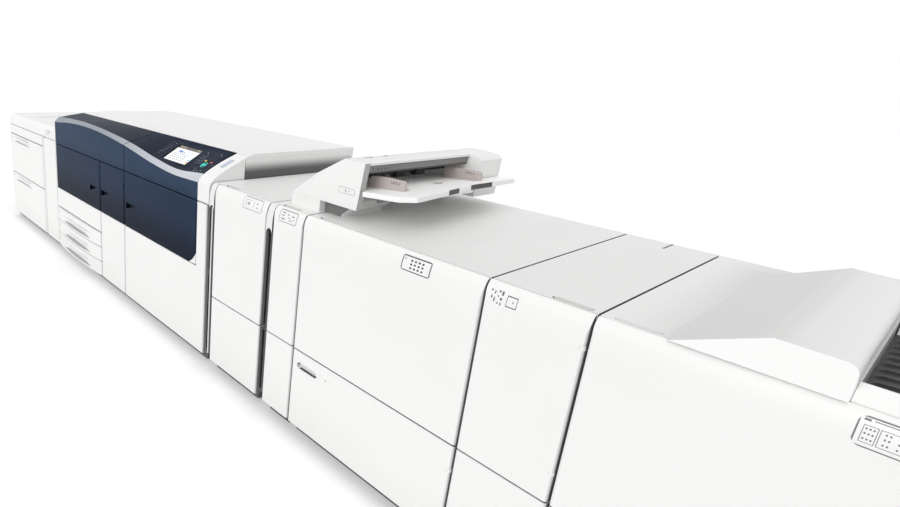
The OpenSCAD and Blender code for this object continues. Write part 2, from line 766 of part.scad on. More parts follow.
module left_door() color(navy_shares) line()
    navy_door(navy_x, middle_x, -1, middle_x - left_recess_inset - recess_w)
        panel_blank(navy_x, middle_x, navy_foot_z, navy_seam_z);

module middle_door() color(navy_shares) line()
    navy_door(middle_x, right_x, 1, middle_x + middle_recess_inset)
        panel_blank(middle_x, right_x, navy_foot_z, navy_seam_z);

// The right door's lower outer corner is round, and a trim piece fills the rest of it
trim_t = 14;
module right_door() line() {
    x = navy_end - half;
    z = navy_foot_z + half;
    color(navy_shares) difference() {
        navy_door(right_x, navy_end, 1, right_x + recess_inset)
            panel_blank(right_x, navy_end, navy_foot_z, navy_seam_z);
        outside_corner(x, z, navy_corner_r, 1, -1, -cut, trim_t);
    }
    color(white_shares) intersection() {
        panel_blank(right_x, navy_end, navy_foot_z, navy_seam_z);
        outside_corner(x, z, navy_corner_r + seam, 1, -1, -cut, trim_t);
    }
}

// White panels below and beside the navy doors
module engine_lower_panels() color(white_shares) line() {
    fixed_panel(engine_x, middle_x, drawers_top_z, navy_foot_z);
    fixed_panel(middle_x, right_x, panel_foot, navy_foot_z);
    fixed_panel(right_x, column_end, panel_foot, navy_foot_z);
    // White column beside the doors, and the strip set back where it meets the side wall
    intersection() {
        panel_blank(right_x, column_end, panel_foot, navy_seam_z);
        block([navy_end + half, -cut, navy_foot_z - half - edge_r],
            [engine_end, flange_y, navy_seam_z]);
    }
    block([box_end + fit, door_t, panel_foot + half],
        [engine_end - half, side_y - half, navy_seam_z - half]);
}

module paper_drawer(i) {
    z1 = drawers_top_z - i * drawer_h;
    drawer(engine_x, middle_x, z1 - drawer_h, z1, drawer_bulge, paper_scoop, box_x,
        middle_x + half - fit, engine_tray_back);
}
module paper_drawer_1() color(white_shares) line() paper_drawer(0);
module paper_drawer_2() color(white_shares) line() paper_drawer(1);
module paper_drawer_3() color(white_shares) line() paper_drawer(2);

// Touch screen and buttons on the sloping console

screen_x_share = 0.575;
screen_x = right_x + (navy_end - right_x) * screen_x_share;
screen_y = 129;
screen_proud = 3;
function console_tilt(x) = atan((navy_top_z - band_back_z(x)) / (navy_d - band_d));
module on_console(x, y) translate([x, y, console_z(x, y)]) rotate([console_tilt(x), 0, 0])
    children();
module on_screen() on_console(screen_x, screen_y) children();
key_l = 12;
// What still stands proud of the hood when a button is pressed
key_rest = 0.5;
key_proud = button_travel + key_rest;
// Distances of the start, stop and clear buttons from the console's right end and the front
start_at = [98, 102];
stop_at = [66, 126];
clear_at = [128, 132];
// Place, length and width of each button
BUTTONS = [[navy_end - start_at[0], start_at[1], start_l, start_w],
    [navy_end - stop_at[0], stop_at[1], 2 * button_r, 2 * button_r],
    [navy_end - clear_at[0], clear_at[1], 2 * button_r, 2 * button_r]];
module key_outline(l, w, gap) if (l > w) slot_outline(l + 2 * gap, w + 2 * gap);
    else circle(w / 2 + gap);
module key(b) on_console(b[0], b[1]) translate([0, 0, key_proud - key_l])
    linear_extrude(key_l) key_outline(b[2], b[3], 0);

glass_inset = 8;
glass_sink = 1.2;
module touch_screen() color(dark_shares) line() on_screen() difference() {
    translate([-screen_w / 2, -screen_l / 2, screen_proud - screen_t])
        cube([screen_w, screen_l, screen_t]);
    translate([-screen_w / 2 + glass_inset, -screen_l / 2 + glass_inset,
        screen_proud - glass_sink])
        cube([screen_w - 2 * glass_inset, screen_l - 2 * glass_inset, glass_sink + cut]);
}
module start_button() color("mediumturquoise") line() key(BUTTONS[0]);
module stop_button() color("indianred") line() key(BUTTONS[1]);
module clear_button() color("khaki") line() key(BUTTONS[2]);

// What the engine's doors and hood open on

knob_r_share = 0.62;
knob_d = 14;
module toner_cartridges() color(dark_shares) line() for (i = [0 : toner_count - 1])
    translate([toner_x(i), toner_front, toner_z]) rotate([-90, 0, 0]) {
        cylinder(r = toner_r, h = toner_l);
        translate([0, 0, -knob_d]) difference() {
            cylinder(r = toner_r * knob_r_share, h = knob_d + cut);
            for (s = [-1, 1]) translate([-toner_r, s > 0 ? wall : -wall - toner_r, -cut])
                cube([2 * toner_r, toner_r, knob_d]);
        }
    }

unit_w = 150;
unit_h_share = 0.21;
unit_h = height * unit_h_share;
unit_t = 10;
unit_z_share = 0.5;
bar_r = 7;
bar_l = 90;
bar_y = 44;
unit_foot_share = 0.59;
unit_foot_z = height * unit_foot_share;
module drum_units() color(dark_shares) line() for (i = [0 : toner_count - 1]) {
    x = navy_x + (middle_x - navy_x) * (i + 0.5) / toner_count;
    difference() {
        translate([x - unit_w / 2, bay - unit_t, unit_foot_z]) cube([unit_w, unit_t, unit_h]);
        translate([x, bay - unit_t - cut, unit_foot_z + unit_h - unit_w / 3])
            rotate([-90, 0, 0]) cylinder(r = unit_w / 6, h = unit_t / 2 + cut);
    }
    translate([x - bar_l / 2, bar_y, unit_foot_z + unit_h * unit_z_share / 2])
        rotate([0, 90, 0]) cylinder(r = bar_r, h = bar_l);
    for (s = [-1, 1]) translate([x + s * (bar_l / 2 - bar_r), bar_y,
        unit_foot_z + unit_h * unit_z_share / 2])
        rotate([-90, 0, 0]) cylinder(r = bar_r / 2, h = bay - unit_t - bar_y + cut);
}

lever_x = (middle_x + right_x) / 2;
lever_z_share = 0.74;
lever_z = height * lever_z_share;
lever_l = 110;
lever_hub_r = 20;
lever_t = 12;
lever_pin_r = 7;
// Lever that lowers the transfer belt: it hangs from a headed pin
module transfer_lever() color("seagreen") line() translate([lever_x, bay - fit - lever_t, lever_z])
    rotate([-90, 0, 0]) difference() {
        union() {
            cylinder(r = lever_hub_r, h = lever_t);
            translate([-lever_hub_r / 2, 0, 0]) cube([lever_hub_r, lever_l, lever_t]);
            translate([0, lever_l, 0]) cylinder(r = lever_hub_r / 2 + wall, h = lever_t);
        }
        translate([0, 0, -cut]) cylinder(r = lever_pin_r + running, h = lever_t + 2 * cut);
    }

fuser_w = 430;
fuser_h_share = 0.25;
fuser_h = height * fuser_h_share;
fuser_x = right_x + (navy_end - right_x - fuser_w) / 2;
fuser_z_share = 0.6;
fuser_z = height * fuser_z_share;
fuser_t = 12;
knob_r = 28;
knob_t = 20;
flute_count = 12;
knob_x = fuser_x + fuser_w / 4;
knob_z = fuser_z + fuser_h * 2 / 3;
shaft_r = 6;
// Front plate of the fuser, with two grips and the knob's shaft
module fuser_unit() color(grey_shares) line() {
    y = bay - fuser_t;
    difference() {
        translate([fuser_x, y, fuser_z]) cube([fuser_w, fuser_t, fuser_h]);
        for (i = [0 : 5]) translate([fuser_x + fuser_w / 2 + i * boss_w, y - cut,
            fuser_z + fuser_h / 2]) cube([boss_w / 3, fuser_t / 2 + cut, fuser_h / 3]);
    }
    translate([knob_x, y - knob_t - fit, knob_z]) rotate([-90, 0, 0])
        cylinder(r = shaft_r, h = knob_t + fit + cut);
    for (x = [fuser_x + fuser_w / 3, fuser_x + fuser_w * 2 / 3]) {
        translate([x - bar_l / 2, bar_y, fuser_z + fuser_h / 4]) rotate([0, 90, 0])
            cylinder(r = bar_r, h = bar_l);
        for (s = [-1, 1]) translate([x + s * (bar_l / 2 - bar_r), bar_y,
            fuser_z + fuser_h / 4]) rotate([-90, 0, 0])
            cylinder(r = bar_r / 2, h = y - bar_y + cut);
    }
}

module fuser_knob() color("seagreen") line()
    translate([knob_x, bay - fuser_t - fit - knob_t, knob_z]) rotate([-90, 0, 0]) difference() {
        cylinder(r = knob_r, h = knob_t);
        translate([0, 0, -cut]) cylinder(r = shaft_r + running, h = knob_t + 2 * cut);
        for (i = [0 : flute_count - 1]) rotate(i * 360 / flute_count)
            translate([knob_r + wall / 2, 0, -cut]) cylinder(r = wall, h = knob_t + 2 * cut, $fn = 24);
    }

// Interface unit, bridge unit, stacker and folder

unit_top = height - cover_t;
function upper_heights() = rolled_heights(lower_seam_z, height);

module upper_door(x0, x1, side) hinged(x0, x1, side, upper_heights()) difference() {
    panel_blank(x0, x1, lower_seam_z, height, true);
    back_relief(x0, x1, lower_seam_z, height - nose_h);
}

module interface_frame() color(grey_shares) line() {
    carcass(interface_x, interface_end, panel_foot, unit_top);
    hinge_arms(interface_x, interface_end, -1, upper_heights());
    docking_collar(interface_x, dock_gap + half);
}
module interface_door() color(white_shares) line() upper_door(interface_x, interface_end, -1);

module bridge_frame() color(grey_shares) line() {
    carcass(bridge_x, stacker_x, panel_foot, unit_top);
    hinge_arms(bridge_x, stacker_x, -1, upper_heights());
    docking_collar(bridge_x, dock_gap + half);
}
module bridge_door() color(white_shares) line() upper_door(bridge_x, stacker_x, -1);

// Stacker: closed above, with an open bay for the stack behind its lower door
stack_heights = hinge_heights(panel_foot, lower_seam_z);
stack_floor_t = 30;
stack_back = 120;
module stacker_frame() color(grey_shares) line() {
    x0 = stacker_x + half;
    x1 = folder_x - half;
    carcass(stacker_x, folder_x, lower_seam_z, unit_top);
    hinge_arms(stacker_x, folder_x, -1, upper_heights());
    for (x = [x0, x1 - plate_t])
        block([x, flange_y, panel_foot], [x + plate_t, back_y, lower_seam_z - fit]);
    hinge_arms(stacker_x, folder_x, 1, stack_heights, flange_y);
    closed_box([x0 + plate_t + fit, back_y - stack_back, panel_foot],
        [x1 - plate_t - fit, back_y, lower_seam_z - fit]);
    block([x0 + plate_t + fit, flange_y, panel_foot],
        [x1 - plate_t - fit, back_y - stack_back - fit, panel_foot + stack_floor_t]);
    docking_collar(stacker_x, half);
}
module stacker_upper_door() color(white_shares) line() upper_door(stacker_x, folder_x, -1);

// Lower door with its oblong handle recess
handle_x = 36;
handle_drop = 66;
handle_h = 30;
handle_l = 118;
handle_d = 18;
module stacker_lower_door() color(white_shares) line() {
    z = lower_seam_z - handle_drop;
    hinged(stacker_x, folder_x, 1, stack_heights) difference() {
        panel_blank(stacker_x, folder_x, panel_foot, lower_seam_z);
        back_relief(stacker_x, folder_x, panel_foot, lower_seam_z);
        translate([stacker_x + handle_x + handle_l / 2, -cut, z]) rotate([-90, 0, 0])
            linear_extrude(handle_d + cut) slot_outline(handle_l, handle_h);
    }
}

// Lifting platform, with a raised lip all round its underside
platform_t = 14;
lip_t = 6;
module stacker_platform() color(silver_shares) line() {
    x0 = stacker_x + half + plate_t + 2 * fit;
    x1 = folder_x - half - plate_t - 2 * fit;
    y1 = back_y - stack_back - 2 * fit;
    z = panel_foot + stack_floor_t + fit;
    difference() {
        block([x0, flange_y, z], [x1, y1, z + platform_t]);
        for (i = [0 : 3]) translate([x0 + (x1 - x0) * (i + 0.5) / 4 - boss_w / 2,
            flange_y + plate_t, z + platform_t - lip_t])
            cube([boss_w, y1 - flange_y - 2 * plate_t, lip_t + cut]);
    }
}

module folder_frame() color(grey_shares) line() {
    carcass(folder_x, finisher_x, panel_foot, unit_top);
    hinge_arms(folder_x, finisher_x, 1, upper_heights());
    docking_collar(folder_x, half);
}
module folder_door() color(white_shares) line() upper_door(folder_x, finisher_x, 1);

// How far the middles of the grip slots stand from the left sides of the interface unit,
// the bridge unit, the stacker and the finisher, and from the right side of the folder
interface_grip_inset = 90;
bridge_grip_inset = 68;
stacker_grip_inset = 104;
folder_grip_inset = 72;
finisher_grip_inset = 84;
interface_grip = interface_x + interface_grip_inset;
bridge_grip = bridge_x + bridge_grip_inset;
stacker_grip = stacker_x + stacker_grip_inset;
folder_grip = finisher_x - folder_grip_inset;
finisher_grip = finisher_x + finisher_grip_inset;
module top_covers() color(top_shares) line() {
    top_cover(interface_x, interface_end, interface_grip);
    gap_cap(engine_end, interface_x - half);
    block([engine_end + half, nose_d + cap_lap / 2, unit_top],
        [interface_x + half - fit, depth, height]);
    top_cover(bridge_x, stacker_x, bridge_grip);
    gap_cap(interface_end, bridge_x - half);
    block([interface_end + half, nose_d + cap_lap / 2, unit_top],
        [bridge_x + half - fit, depth, height]);
    top_cover(stacker_x, folder_x, stacker_grip);
    top_cover(folder_x, finisher_x, folder_grip);
}

module lower_front_panels() color(white_shares) line() {
    fixed_panel(interface_x, interface_end, panel_foot, lower_seam_z);
    fixed_panel(bridge_x, stacker_x, panel_foot, lower_seam_z);
    fixed_panel(folder_x, finisher_x, panel_foot, lower_seam_z);
    fixed_panel(finisher_x, line_w, panel_foot, lower_seam_z);
}

// Finisher

well_x = finisher_x + ramp_x + ramp_l + hood_top_l;
well_z = height - well_d;
well_end_w = 130;
well_front = 80;
well_back = hood_back;
rail_rise_y = flange_y;
hood_wall = 12;
hood_y = 14;
hood_y1 = depth - hood_back;
hood_lift = 2;

module finisher_frame() color(grey_shares) line() {
    carcass(finisher_x, well_x, panel_foot, unit_top);
    closed_box([well_x - half + fit, bay, panel_foot], [line_w - half, back_y, well_z]);
    block([line_w - half - plate_t, flange_y, panel_foot],
        [line_w - half, bay + cut, well_z]);
    hinge_arms(finisher_x, line_w, 1, upper_heights(), flange_y);
    docking_collar(finisher_x, half);
}

module finisher_door() color(white_shares) line() upper_door(finisher_x, line_w, 1);

// Hood over the exit rollers: a ramp, a flat top and a rounded end, open to the right
top_fall = 3;
hood_end_r = 22;
module hood_outline(inset) {
    x0 = finisher_x + ramp_x;
    x1 = x0 + ramp_l;
    x2 = well_x - inset;
    z1 = height + hood_h - inset;
    slope = inset * ramp_l / hood_h * 2;
    polygon(concat([[x0 + slope, height - cut], [x1 + inset / 3, z1]],
        [for (i = [0 : end_steps]) let (a = 90 * i / end_steps)
            [x2 - hood_end_r * (1 - sin(a)), z1 - top_fall - hood_end_r * (1 - cos(a))]],
        [[x2, height - cut]]));
}
module finisher_top_cover() color(top_shares) line() difference() {
    union() {
        top_cover(finisher_x, well_x, finisher_grip);
        along_y(hood_y, hood_y1) hood_outline(0);
    }
    // Space under the hood, open on its right
    intersection() {
        along_y(hood_y + 4 * hood_wall, hood_y1 - 2 * hood_wall) union() {
            hood_outline(hood_wall);
            translate([well_x - 2 * hood_end_r, height])
                square([3 * hood_end_r, hood_h - hood_wall - hood_end_r]);
        }
        block([finisher_x, 0, height], [line_w, depth, height + hood_h]);
    }
    // The door's rolled edge swings clear under the hood's front
    block([finisher_x, -cut, unit_top - cut], [line_w, rail_rise_y, height + hood_lift]);
}

// Rail round the output tray: bevelled at the front, plain at the right and the back
module finisher_rail() color(white_shares) line() {
    x0 = well_x + fit;
    x1 = line_w - half;
    along_x(x0, x1) polygon([[rail_rise_y, well_z + fit], [rail_rise_y, height],
        [well_front - wall, height + rail_h], [well_front, height + rail_h],
        [well_front, well_z + fit]]);
    block([x1 - well_end_w, well_front + fit, well_z + fit],
        [x1, depth, height + rail_h]);
    along_x(x0, x1 - well_end_w - fit) polygon([[depth - well_back, well_z + fit],
        [depth - well_back, height + rail_h], [depth, height + rail_h],
        [depth, well_z + fit]]);
}

// Ribbed output tray, sloping up away from the hood
tray_rise = 34;
tray_rib_h = 8;
rib_count = 14;
output_t = 10;
module finisher_output_tray() color(dark_shares) line() {
    x0 = well_x + 2 * fit;
    x1 = line_w - half - well_end_w - 2 * fit;
    y0 = well_front + 2 * fit;
    y1 = depth - well_back - 2 * fit;
    z = well_z + fit;
    along_y(y0, y1) polygon([[x0, z], [x1, z], [x1, z + output_t + tray_rise],
        [x0, z + output_t]]);
    for (i = [0 : rib_count - 1]) {
        y = y0 + (y1 - y0) * (i + 0.5) / rib_count;
        along_y(y - wall / 2, y + wall / 2) polygon([[x0, z + output_t - cut],
            [x1, z + output_t + tray_rise - cut], [x1, z + output_t + tray_rise + tray_rib_h],
            [x0 + 2 * tray_rib_h, z + output_t + tray_rib_h]]);
    }
}

// Sheet inserter, which stands on the bridge unit and reaches over the stacker

in_x = bridge_x;
in_z = height;
foot_h = 51;
foot_w = 172;
// Depth of the near pod below its tray
pod_foot_d = 115;
pod_foot_h = 28;
// Corners of the pods, as distances right of the bridge's left side and shares of the height
slope_x = 146;
slope_share = 0.67;
crest_x = 284;
near_top_x = 388;
near_foot_x = 367;
far_top_x = 438;
near_top_share = 0.985;
pod_soft_x = 10;
pod_soft_share = 0.25;
throat_x = 170;
throat_z_share = 0.8;
tray_root_z = 128;
function share_z(s) = in_z + inserter_h * s;
// Height of the sloping back at a distance from the crest
head_x = throat_x + pod_soft_x;
function back_z(x) = share_z(slope_share)
    + (share_z(1) - share_z(slope_share)) * (x - slope_x) / (crest_x - slope_x);

function back_points() = [[half, in_z + foot_h + fit],
    [pod_soft_x, share_z(pod_soft_share)], [slope_x, share_z(slope_share)]];

module in_front(points) translate([in_x, 0, 0]) polygon(points);

module inserter_base() color(white_shares) line() {
    y0 = near_pod_y + near_pod_d + fit;
    y1 = far_pod_y - fit;
    along_y(near_pod_y, far_pod_y + far_pod_d)
        in_front([[half, in_z], [half, in_z + foot_h], [foot_w, in_z + foot_h], [foot_w, in_z]]);
    // Sloping back between the pods
    along_y(y0, y1) in_front(concat(back_points(), [[throat_x, back_z(throat_x)],
        [throat_x, in_z + foot_h - cut], [half, in_z + foot_h - cut]]));
    // Pedestal that leans on the stacker's top
    pedestal_l = 146;
    pedestal_w = 240;
    pedestal_t = 8;
    along_y(y0, y0 + pedestal_w) in_front([[foot_w - cut, in_z], [foot_w - cut, in_z + foot_h],
        [foot_w + pedestal_l, in_z + foot_h], [foot_w + pedestal_l - foot_h, in_z + pedestal_t],
        [foot_w + pedestal_l - foot_h, in_z]]);
}

shaft_y0 = 15;
roller_x = 262;
roller_z_share = 0.66;
head_r = 8;
head_pin_r = 5;
// Holes in the pods for the head's pins and the feed shaft
module pod_holes() {
    y0 = near_pod_y + near_pod_d - shaft_y0;
    translate([in_x + head_x, y0, head_z()]) rotate([-90, 0, 0])
        cylinder(r = head_pin_r + running, h = far_pod_y + 2 * shaft_y0 - y0 - shaft_y0);
    translate([in_x + roller_x, y0, share_z(roller_z_share)]) rotate([-90, 0, 0])
        cylinder(r = shaft_r + running, h = far_pod_y + 2 * shaft_y0 - y0 - shaft_y0);
}
function head_z() = back_z(head_x) - head_r - wall;

module inserter_near_pod() color(white_shares) line() {
    z = in_z + foot_h + fit;
    difference() {
        along_y(near_pod_y, near_pod_y + near_pod_d) in_front(concat(back_points(),
            [[crest_x, share_z(1)], [near_top_x, share_z(near_top_share)], [near_foot_x, z]]));
        pod_holes();
    }
    // Deeper foot under the tray, with a soft upper corner
    along_y(near_pod_y + near_pod_d - cut, near_pod_y + pod_foot_d) in_front([
        [throat_x + fit, z], [throat_x + fit, z + pod_foot_h], [near_foot_x - wall, z + pod_foot_h],
        [near_foot_x, z + pod_foot_h - wall], [near_foot_x - wall, z]]);
}

far_top_share = 0.95;
far_soft = 14;
module inserter_far_pod() color(white_shares) line() difference() {
    along_y(far_pod_y, far_pod_y + far_pod_d) in_front(concat(back_points(),
        [[crest_x, share_z(1)], [near_top_x, share_z(near_top_share)],
        [far_top_x - far_soft, share_z(far_top_share)],
        [far_top_x, share_z(far_top_share) - far_soft],
        [far_top_x - far_soft / 2, in_z + foot_h + fit]]));
    pod_holes();
}

// Feed head, which lifts on two pins at the top of the slope. Its lid overhangs its face.
lid_lip = 10;
module inserter_head() color(white_shares) line() {
    y0 = near_pod_y + near_pod_d + fit;
    y1 = far_pod_y - fit;
    zt = share_z(throat_z_share);
    lip_z = share_z(near_top_share) - lid_lip;
    z = head_z();
    along_y(y0, y1) {
        in_front([[head_x, back_z(head_x)], [crest_x, share_z(1)],
            [near_top_x, share_z(near_top_share)], [near_top_x, lip_z],
            [near_top_x - lid_lip, lip_z], [near_top_x - lid_lip - wall, zt],
            [head_x + plate_t, zt - wall], [head_x, z - head_r]]);
        translate([in_x + head_x, z]) circle(head_r);
    }
    translate([in_x + head_x, y0 - shaft_y0 + seam, z]) rotate([-90, 0, 0])
        cylinder(r = head_pin_r, h = y1 - y0 + 2 * shaft_y0 - 2 * seam);
}

roller_r = 20;
roller_w = 60;
roller_pitch = 130;
module feed_roller() color(dark_shares) line() {
    y0 = near_pod_y + near_pod_d - shaft_y0 + seam;
    y1 = far_pod_y + shaft_y0 - seam;
    translate([in_x + roller_x, y0, share_z(roller_z_share)]) rotate([-90, 0, 0]) {
        cylinder(r = shaft_r, h = y1 - y0);
        for (s = [-1, 0, 1]) translate([0, 0, (y1 - y0 - roller_w) / 2 + s * roller_pitch])
            cylinder(r = roller_r, h = roller_w);
    }
}

// The tray's own axes: origin where it leaves the near pod, x up its slope
module on_tray() translate([in_x + near_foot_x, 0, in_z + tray_root_z])
    rotate([0, -tray_tilt, 0]) children();

throat_clearance = 6;
tray_in = near_foot_x - throat_x - throat_clearance;
near_edge_inset = 8;
far_edge_inset = 20;
near_edge = near_pod_y + near_edge_inset;
far_edge = far_pod_y + far_pod_d - far_edge_inset;
tray_soft = 46;
waist_share = 0.72;
tray_gap = 75;
ext_t = 6;
ext_w = 300;
ext_y = (near_pod_y + near_pod_d + far_pod_y) / 2;
ext_inset = 14;
runner_l = tray_in / 2 + tray_reach * waist_share - ext_inset;
module inserter_tray() color(white_shares) line() on_tray() {
    inner0 = near_pod_y + near_pod_d + fit;
    inner1 = far_pod_y - fit;
    translate([0, 0, -tray_t]) linear_extrude(tray_t) polygon([[-tray_in, inner0],
        [far_soft, inner0], [far_soft, near_edge], [tray_reach - tray_soft, near_edge],
        [tray_reach, near_edge + tray_soft], [tray_reach, inner0 + tray_soft],
        [tray_reach * waist_share, ext_y + ext_w / 2], [tray_reach * waist_share, far_edge - far_soft],
        [tray_reach * waist_share - far_soft, far_edge], [tray_gap, far_edge], [tray_gap, inner1],
        [-tray_in, inner1]]);
    // Runners that carry the extension
    for (s = [-1, 1]) translate([-tray_in / 2, ext_y + s * (ext_w / 2 + fit + wall) - wall,
        -tray_t - ext_t - wall - 2 * fit]) {
        cube([runner_l, 2 * wall, ext_t + wall + 2 * fit + cut]);
        translate([0, s < 0 ? 0 : -2 * wall, 0]) cube([runner_l, 4 * wall, wall]);
    }
}

// Pull-out extension under the tray, with a turned-down grip at its end
module tray_extension() color(grey_shares) line() on_tray() {
    x1 = tray_reach * waist_share - seam;
    translate([-tray_in / 2, ext_y - ext_w / 2, -tray_t - ext_t - fit])
        cube([tray_in / 2 + x1, ext_w, ext_t]);
    translate([x1 - wall, ext_y - ext_w / 2, -tray_t - 2 * ext_t])
        cube([2 * wall, ext_w, 2 * ext_t - fit]);
}

guide_l = 176;
guide_t = 15;
guide_foot = 34;
guide_foot_t = 3;
near_guide_y = 225;
guide_back = 60;
far_guide_y = 728;
module guide(y, inward) on_tray() translate([-guide_back, y, fit]) {
    rotate([90, 0, 0]) translate([0, 0, -guide_t]) linear_extrude(guide_t) polygon([[0, 0],
        [guide_l, 0], [guide_l, guide_h - guide_t], [guide_l - guide_t / 2, guide_h - guide_t / 2],
        [guide_l / 2, guide_h], [guide_t, guide_h], [0, guide_h - guide_t]]);
    translate([guide_t, inward > 0 ? guide_t - cut : -guide_foot + cut, 0])
        cube([guide_l - 2 * guide_t, guide_foot, guide_foot_t]);
}
module near_guide() color(beige_shares) line() guide(near_guide_y, 1);
module far_guide() color(beige_shares) line() guide(far_guide_y, -1);

// What the units stand on, and their backs

foot_r = 24;
foot_t = 8;
neck_r = 10;
plinth_z = 14;
plinth_inset = 24;
foot_pitch = 1000;
module levelling_feet() color(dark_shares) line() for (u = UNITS) {
    x0 = u[0] + plinth_inset + foot_r;
    x1 = u[1] - plinth_inset - foot_r;
    bays = max(1, round((x1 - x0) / foot_pitch));
    for (i = [0 : bays], y = [flange_y + 2 * foot_r, back_y - 2 * foot_r])
        translate([x0 + (x1 - x0) * i / bays, y, 0]) {
            cylinder(r = foot_r, h = foot_t);
            cylinder(r = neck_r, h = plinth_z);
        }
}

louvre_h = 9;
louvre_pitch = 26;
louvre_share = 0.5;
louvre_rows = 7;
module plinths_and_rear_covers() color(dark_shares) line() for (i = [0 : len(UNITS) - 1]) {
    u = UNITS[i];
    top = i == 1 ? rear_box_top : i == 6 ? well_z : unit_top;
    w = u[1] - u[0];
    closed_box([u[0] + plinth_inset, flange_y + wall, plinth_z],
        [u[1] - plinth_inset, back_y - wall, panel_foot]);
    difference() {
        block([u[0] + half, back_y, panel_foot], [u[1] - half, depth, top]);
        for (k = [0 : louvre_rows - 1]) translate([u[0] + w * (1 - louvre_share) / 2,
            back_y - cut, top * (1 - louvre_share / 2) - k * louvre_pitch])
            cube([w * louvre_share, rear_t + 2 * cut, louvre_h]);
    }
}

feeder_frame();
feeder_top_cover();
feeder_header();
feeder_column_cover();
feeder_upper_drawer();
feeder_lower_drawer();
engine_frame();
engine_side_covers();
engine_roof_covers();
engine_left_end();
engine_right_end();
power_switch();
toner_hood();
console_cover();
trim_band_left();
trim_band_right();
left_door();
middle_door();
right_door();
engine_lower_panels();
paper_drawer_1();
paper_drawer_2();
paper_drawer_3();
touch_screen();
start_button();
stop_button();
clear_button();
toner_cartridges();
drum_units();
transfer_lever();
fuser_unit();
fuser_knob();
interface_frame();
interface_door();
bridge_frame();
bridge_door();
stacker_frame();
stacker_upper_door();
stacker_lower_door();
stacker_platform();
folder_frame();
folder_door();
finisher_frame();
finisher_door();
finisher_top_cover();
finisher_rail();
finisher_output_tray();
top_covers();
lower_front_panels();
inserter_base();
inserter_near_pod();
inserter_far_pod();
inserter_head();
feed_roller();
inserter_tray();
tray_extension();
near_guide();
far_guide();
levelling_feet();
plinths_and_rear_covers();
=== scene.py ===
import json
import math
import bpy
from mathutils import Matrix, Vector

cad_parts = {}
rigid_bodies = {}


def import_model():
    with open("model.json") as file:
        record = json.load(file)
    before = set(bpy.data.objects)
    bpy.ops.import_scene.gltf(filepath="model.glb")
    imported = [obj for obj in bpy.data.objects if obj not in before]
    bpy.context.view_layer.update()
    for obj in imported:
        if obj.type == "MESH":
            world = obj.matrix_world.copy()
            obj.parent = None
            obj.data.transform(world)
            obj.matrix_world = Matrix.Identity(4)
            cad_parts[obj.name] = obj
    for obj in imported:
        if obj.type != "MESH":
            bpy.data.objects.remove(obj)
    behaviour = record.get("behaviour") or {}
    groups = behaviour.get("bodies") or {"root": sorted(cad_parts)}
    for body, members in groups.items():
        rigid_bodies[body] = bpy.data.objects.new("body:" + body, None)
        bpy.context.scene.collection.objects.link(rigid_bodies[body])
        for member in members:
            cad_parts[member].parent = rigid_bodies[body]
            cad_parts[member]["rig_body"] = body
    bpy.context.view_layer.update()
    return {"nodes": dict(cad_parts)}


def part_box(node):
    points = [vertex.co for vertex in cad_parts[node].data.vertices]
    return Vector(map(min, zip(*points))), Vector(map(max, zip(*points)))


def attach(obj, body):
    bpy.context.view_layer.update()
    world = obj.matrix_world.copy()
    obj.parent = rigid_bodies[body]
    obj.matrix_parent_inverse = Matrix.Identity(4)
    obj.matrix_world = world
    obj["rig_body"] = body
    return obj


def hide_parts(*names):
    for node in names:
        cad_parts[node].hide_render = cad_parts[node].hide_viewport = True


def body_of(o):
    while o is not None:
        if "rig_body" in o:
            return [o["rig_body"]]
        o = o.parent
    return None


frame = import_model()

# The camera
# Stands at head height in front of the finisher and looks back along the whole line. Its place and its
# three angles come from the line's straight edges.
eye = Vector((2.5868, -2.0138, 1.5784))
turn, pitch, roll = 0.9232697, 0.2959157, -0.0495509
level_ahead = Vector((-math.sin(turn), math.cos(turn), 0))
level_right = Vector((math.cos(turn), math.sin(turn), 0))
sky = Vector((0, 0, 1))
ahead = math.cos(pitch) * level_ahead - math.sin(pitch) * sky
head = math.sin(pitch) * level_ahead + math.cos(pitch) * sky
camera_right = math.cos(roll) * level_right - math.sin(roll) * head
camera_up = math.sin(roll) * level_right + math.cos(roll) * head
lens = bpy.data.cameras.new("line_camera")
lens.lens, lens.sensor_width = 22.88, 36
lens.shift_x, lens.shift_y = 0.2333, -0.0205
lens.clip_start, lens.clip_end = 0.05, 60
camera = bpy.data.objects.new("line_camera", lens)
bpy.context.scene.collection.objects.link(camera)
camera.matrix_world = Matrix.Translation(eye) @ Matrix(
    (camera_right, camera_up, -ahead)).transposed().to_4x4()
bpy.context.scene.camera = camera

# The studio
# A pale floor under an even sky. One broad soft light comes from the aisle in front of the line and a
# weaker one from the ceiling, so that fronts and tops are bright and the end faces grey.
bpy.context.scene.view_settings.view_transform = "Standard"


class Wire:
    """A socket's value in a material; sums with it add Math nodes."""

    def __init__(self, finish, socket):
        self.finish, self.socket = finish, socket

    def __add__(self, other):
        return self.finish.sum_of("ADD", self, other)

    def __sub__(self, other):
        return self.finish.sum_of("SUBTRACT", self, other)

    def __rsub__(self, other):
        return self.finish.sum_of("SUBTRACT", other, self)

    def __mul__(self, other):
        return self.finish.sum_of("MULTIPLY", self, other)

    def __truediv__(self, other):
        return self.finish.sum_of("DIVIDE", self, other)

    def __rtruediv__(self, other):
        return self.finish.sum_of("DIVIDE", other, self)

    def __abs__(self):
        return self.finish.sum_of("ABSOLUTE", self, 0)

    __radd__ = __add__
    __rmul__ = __mul__


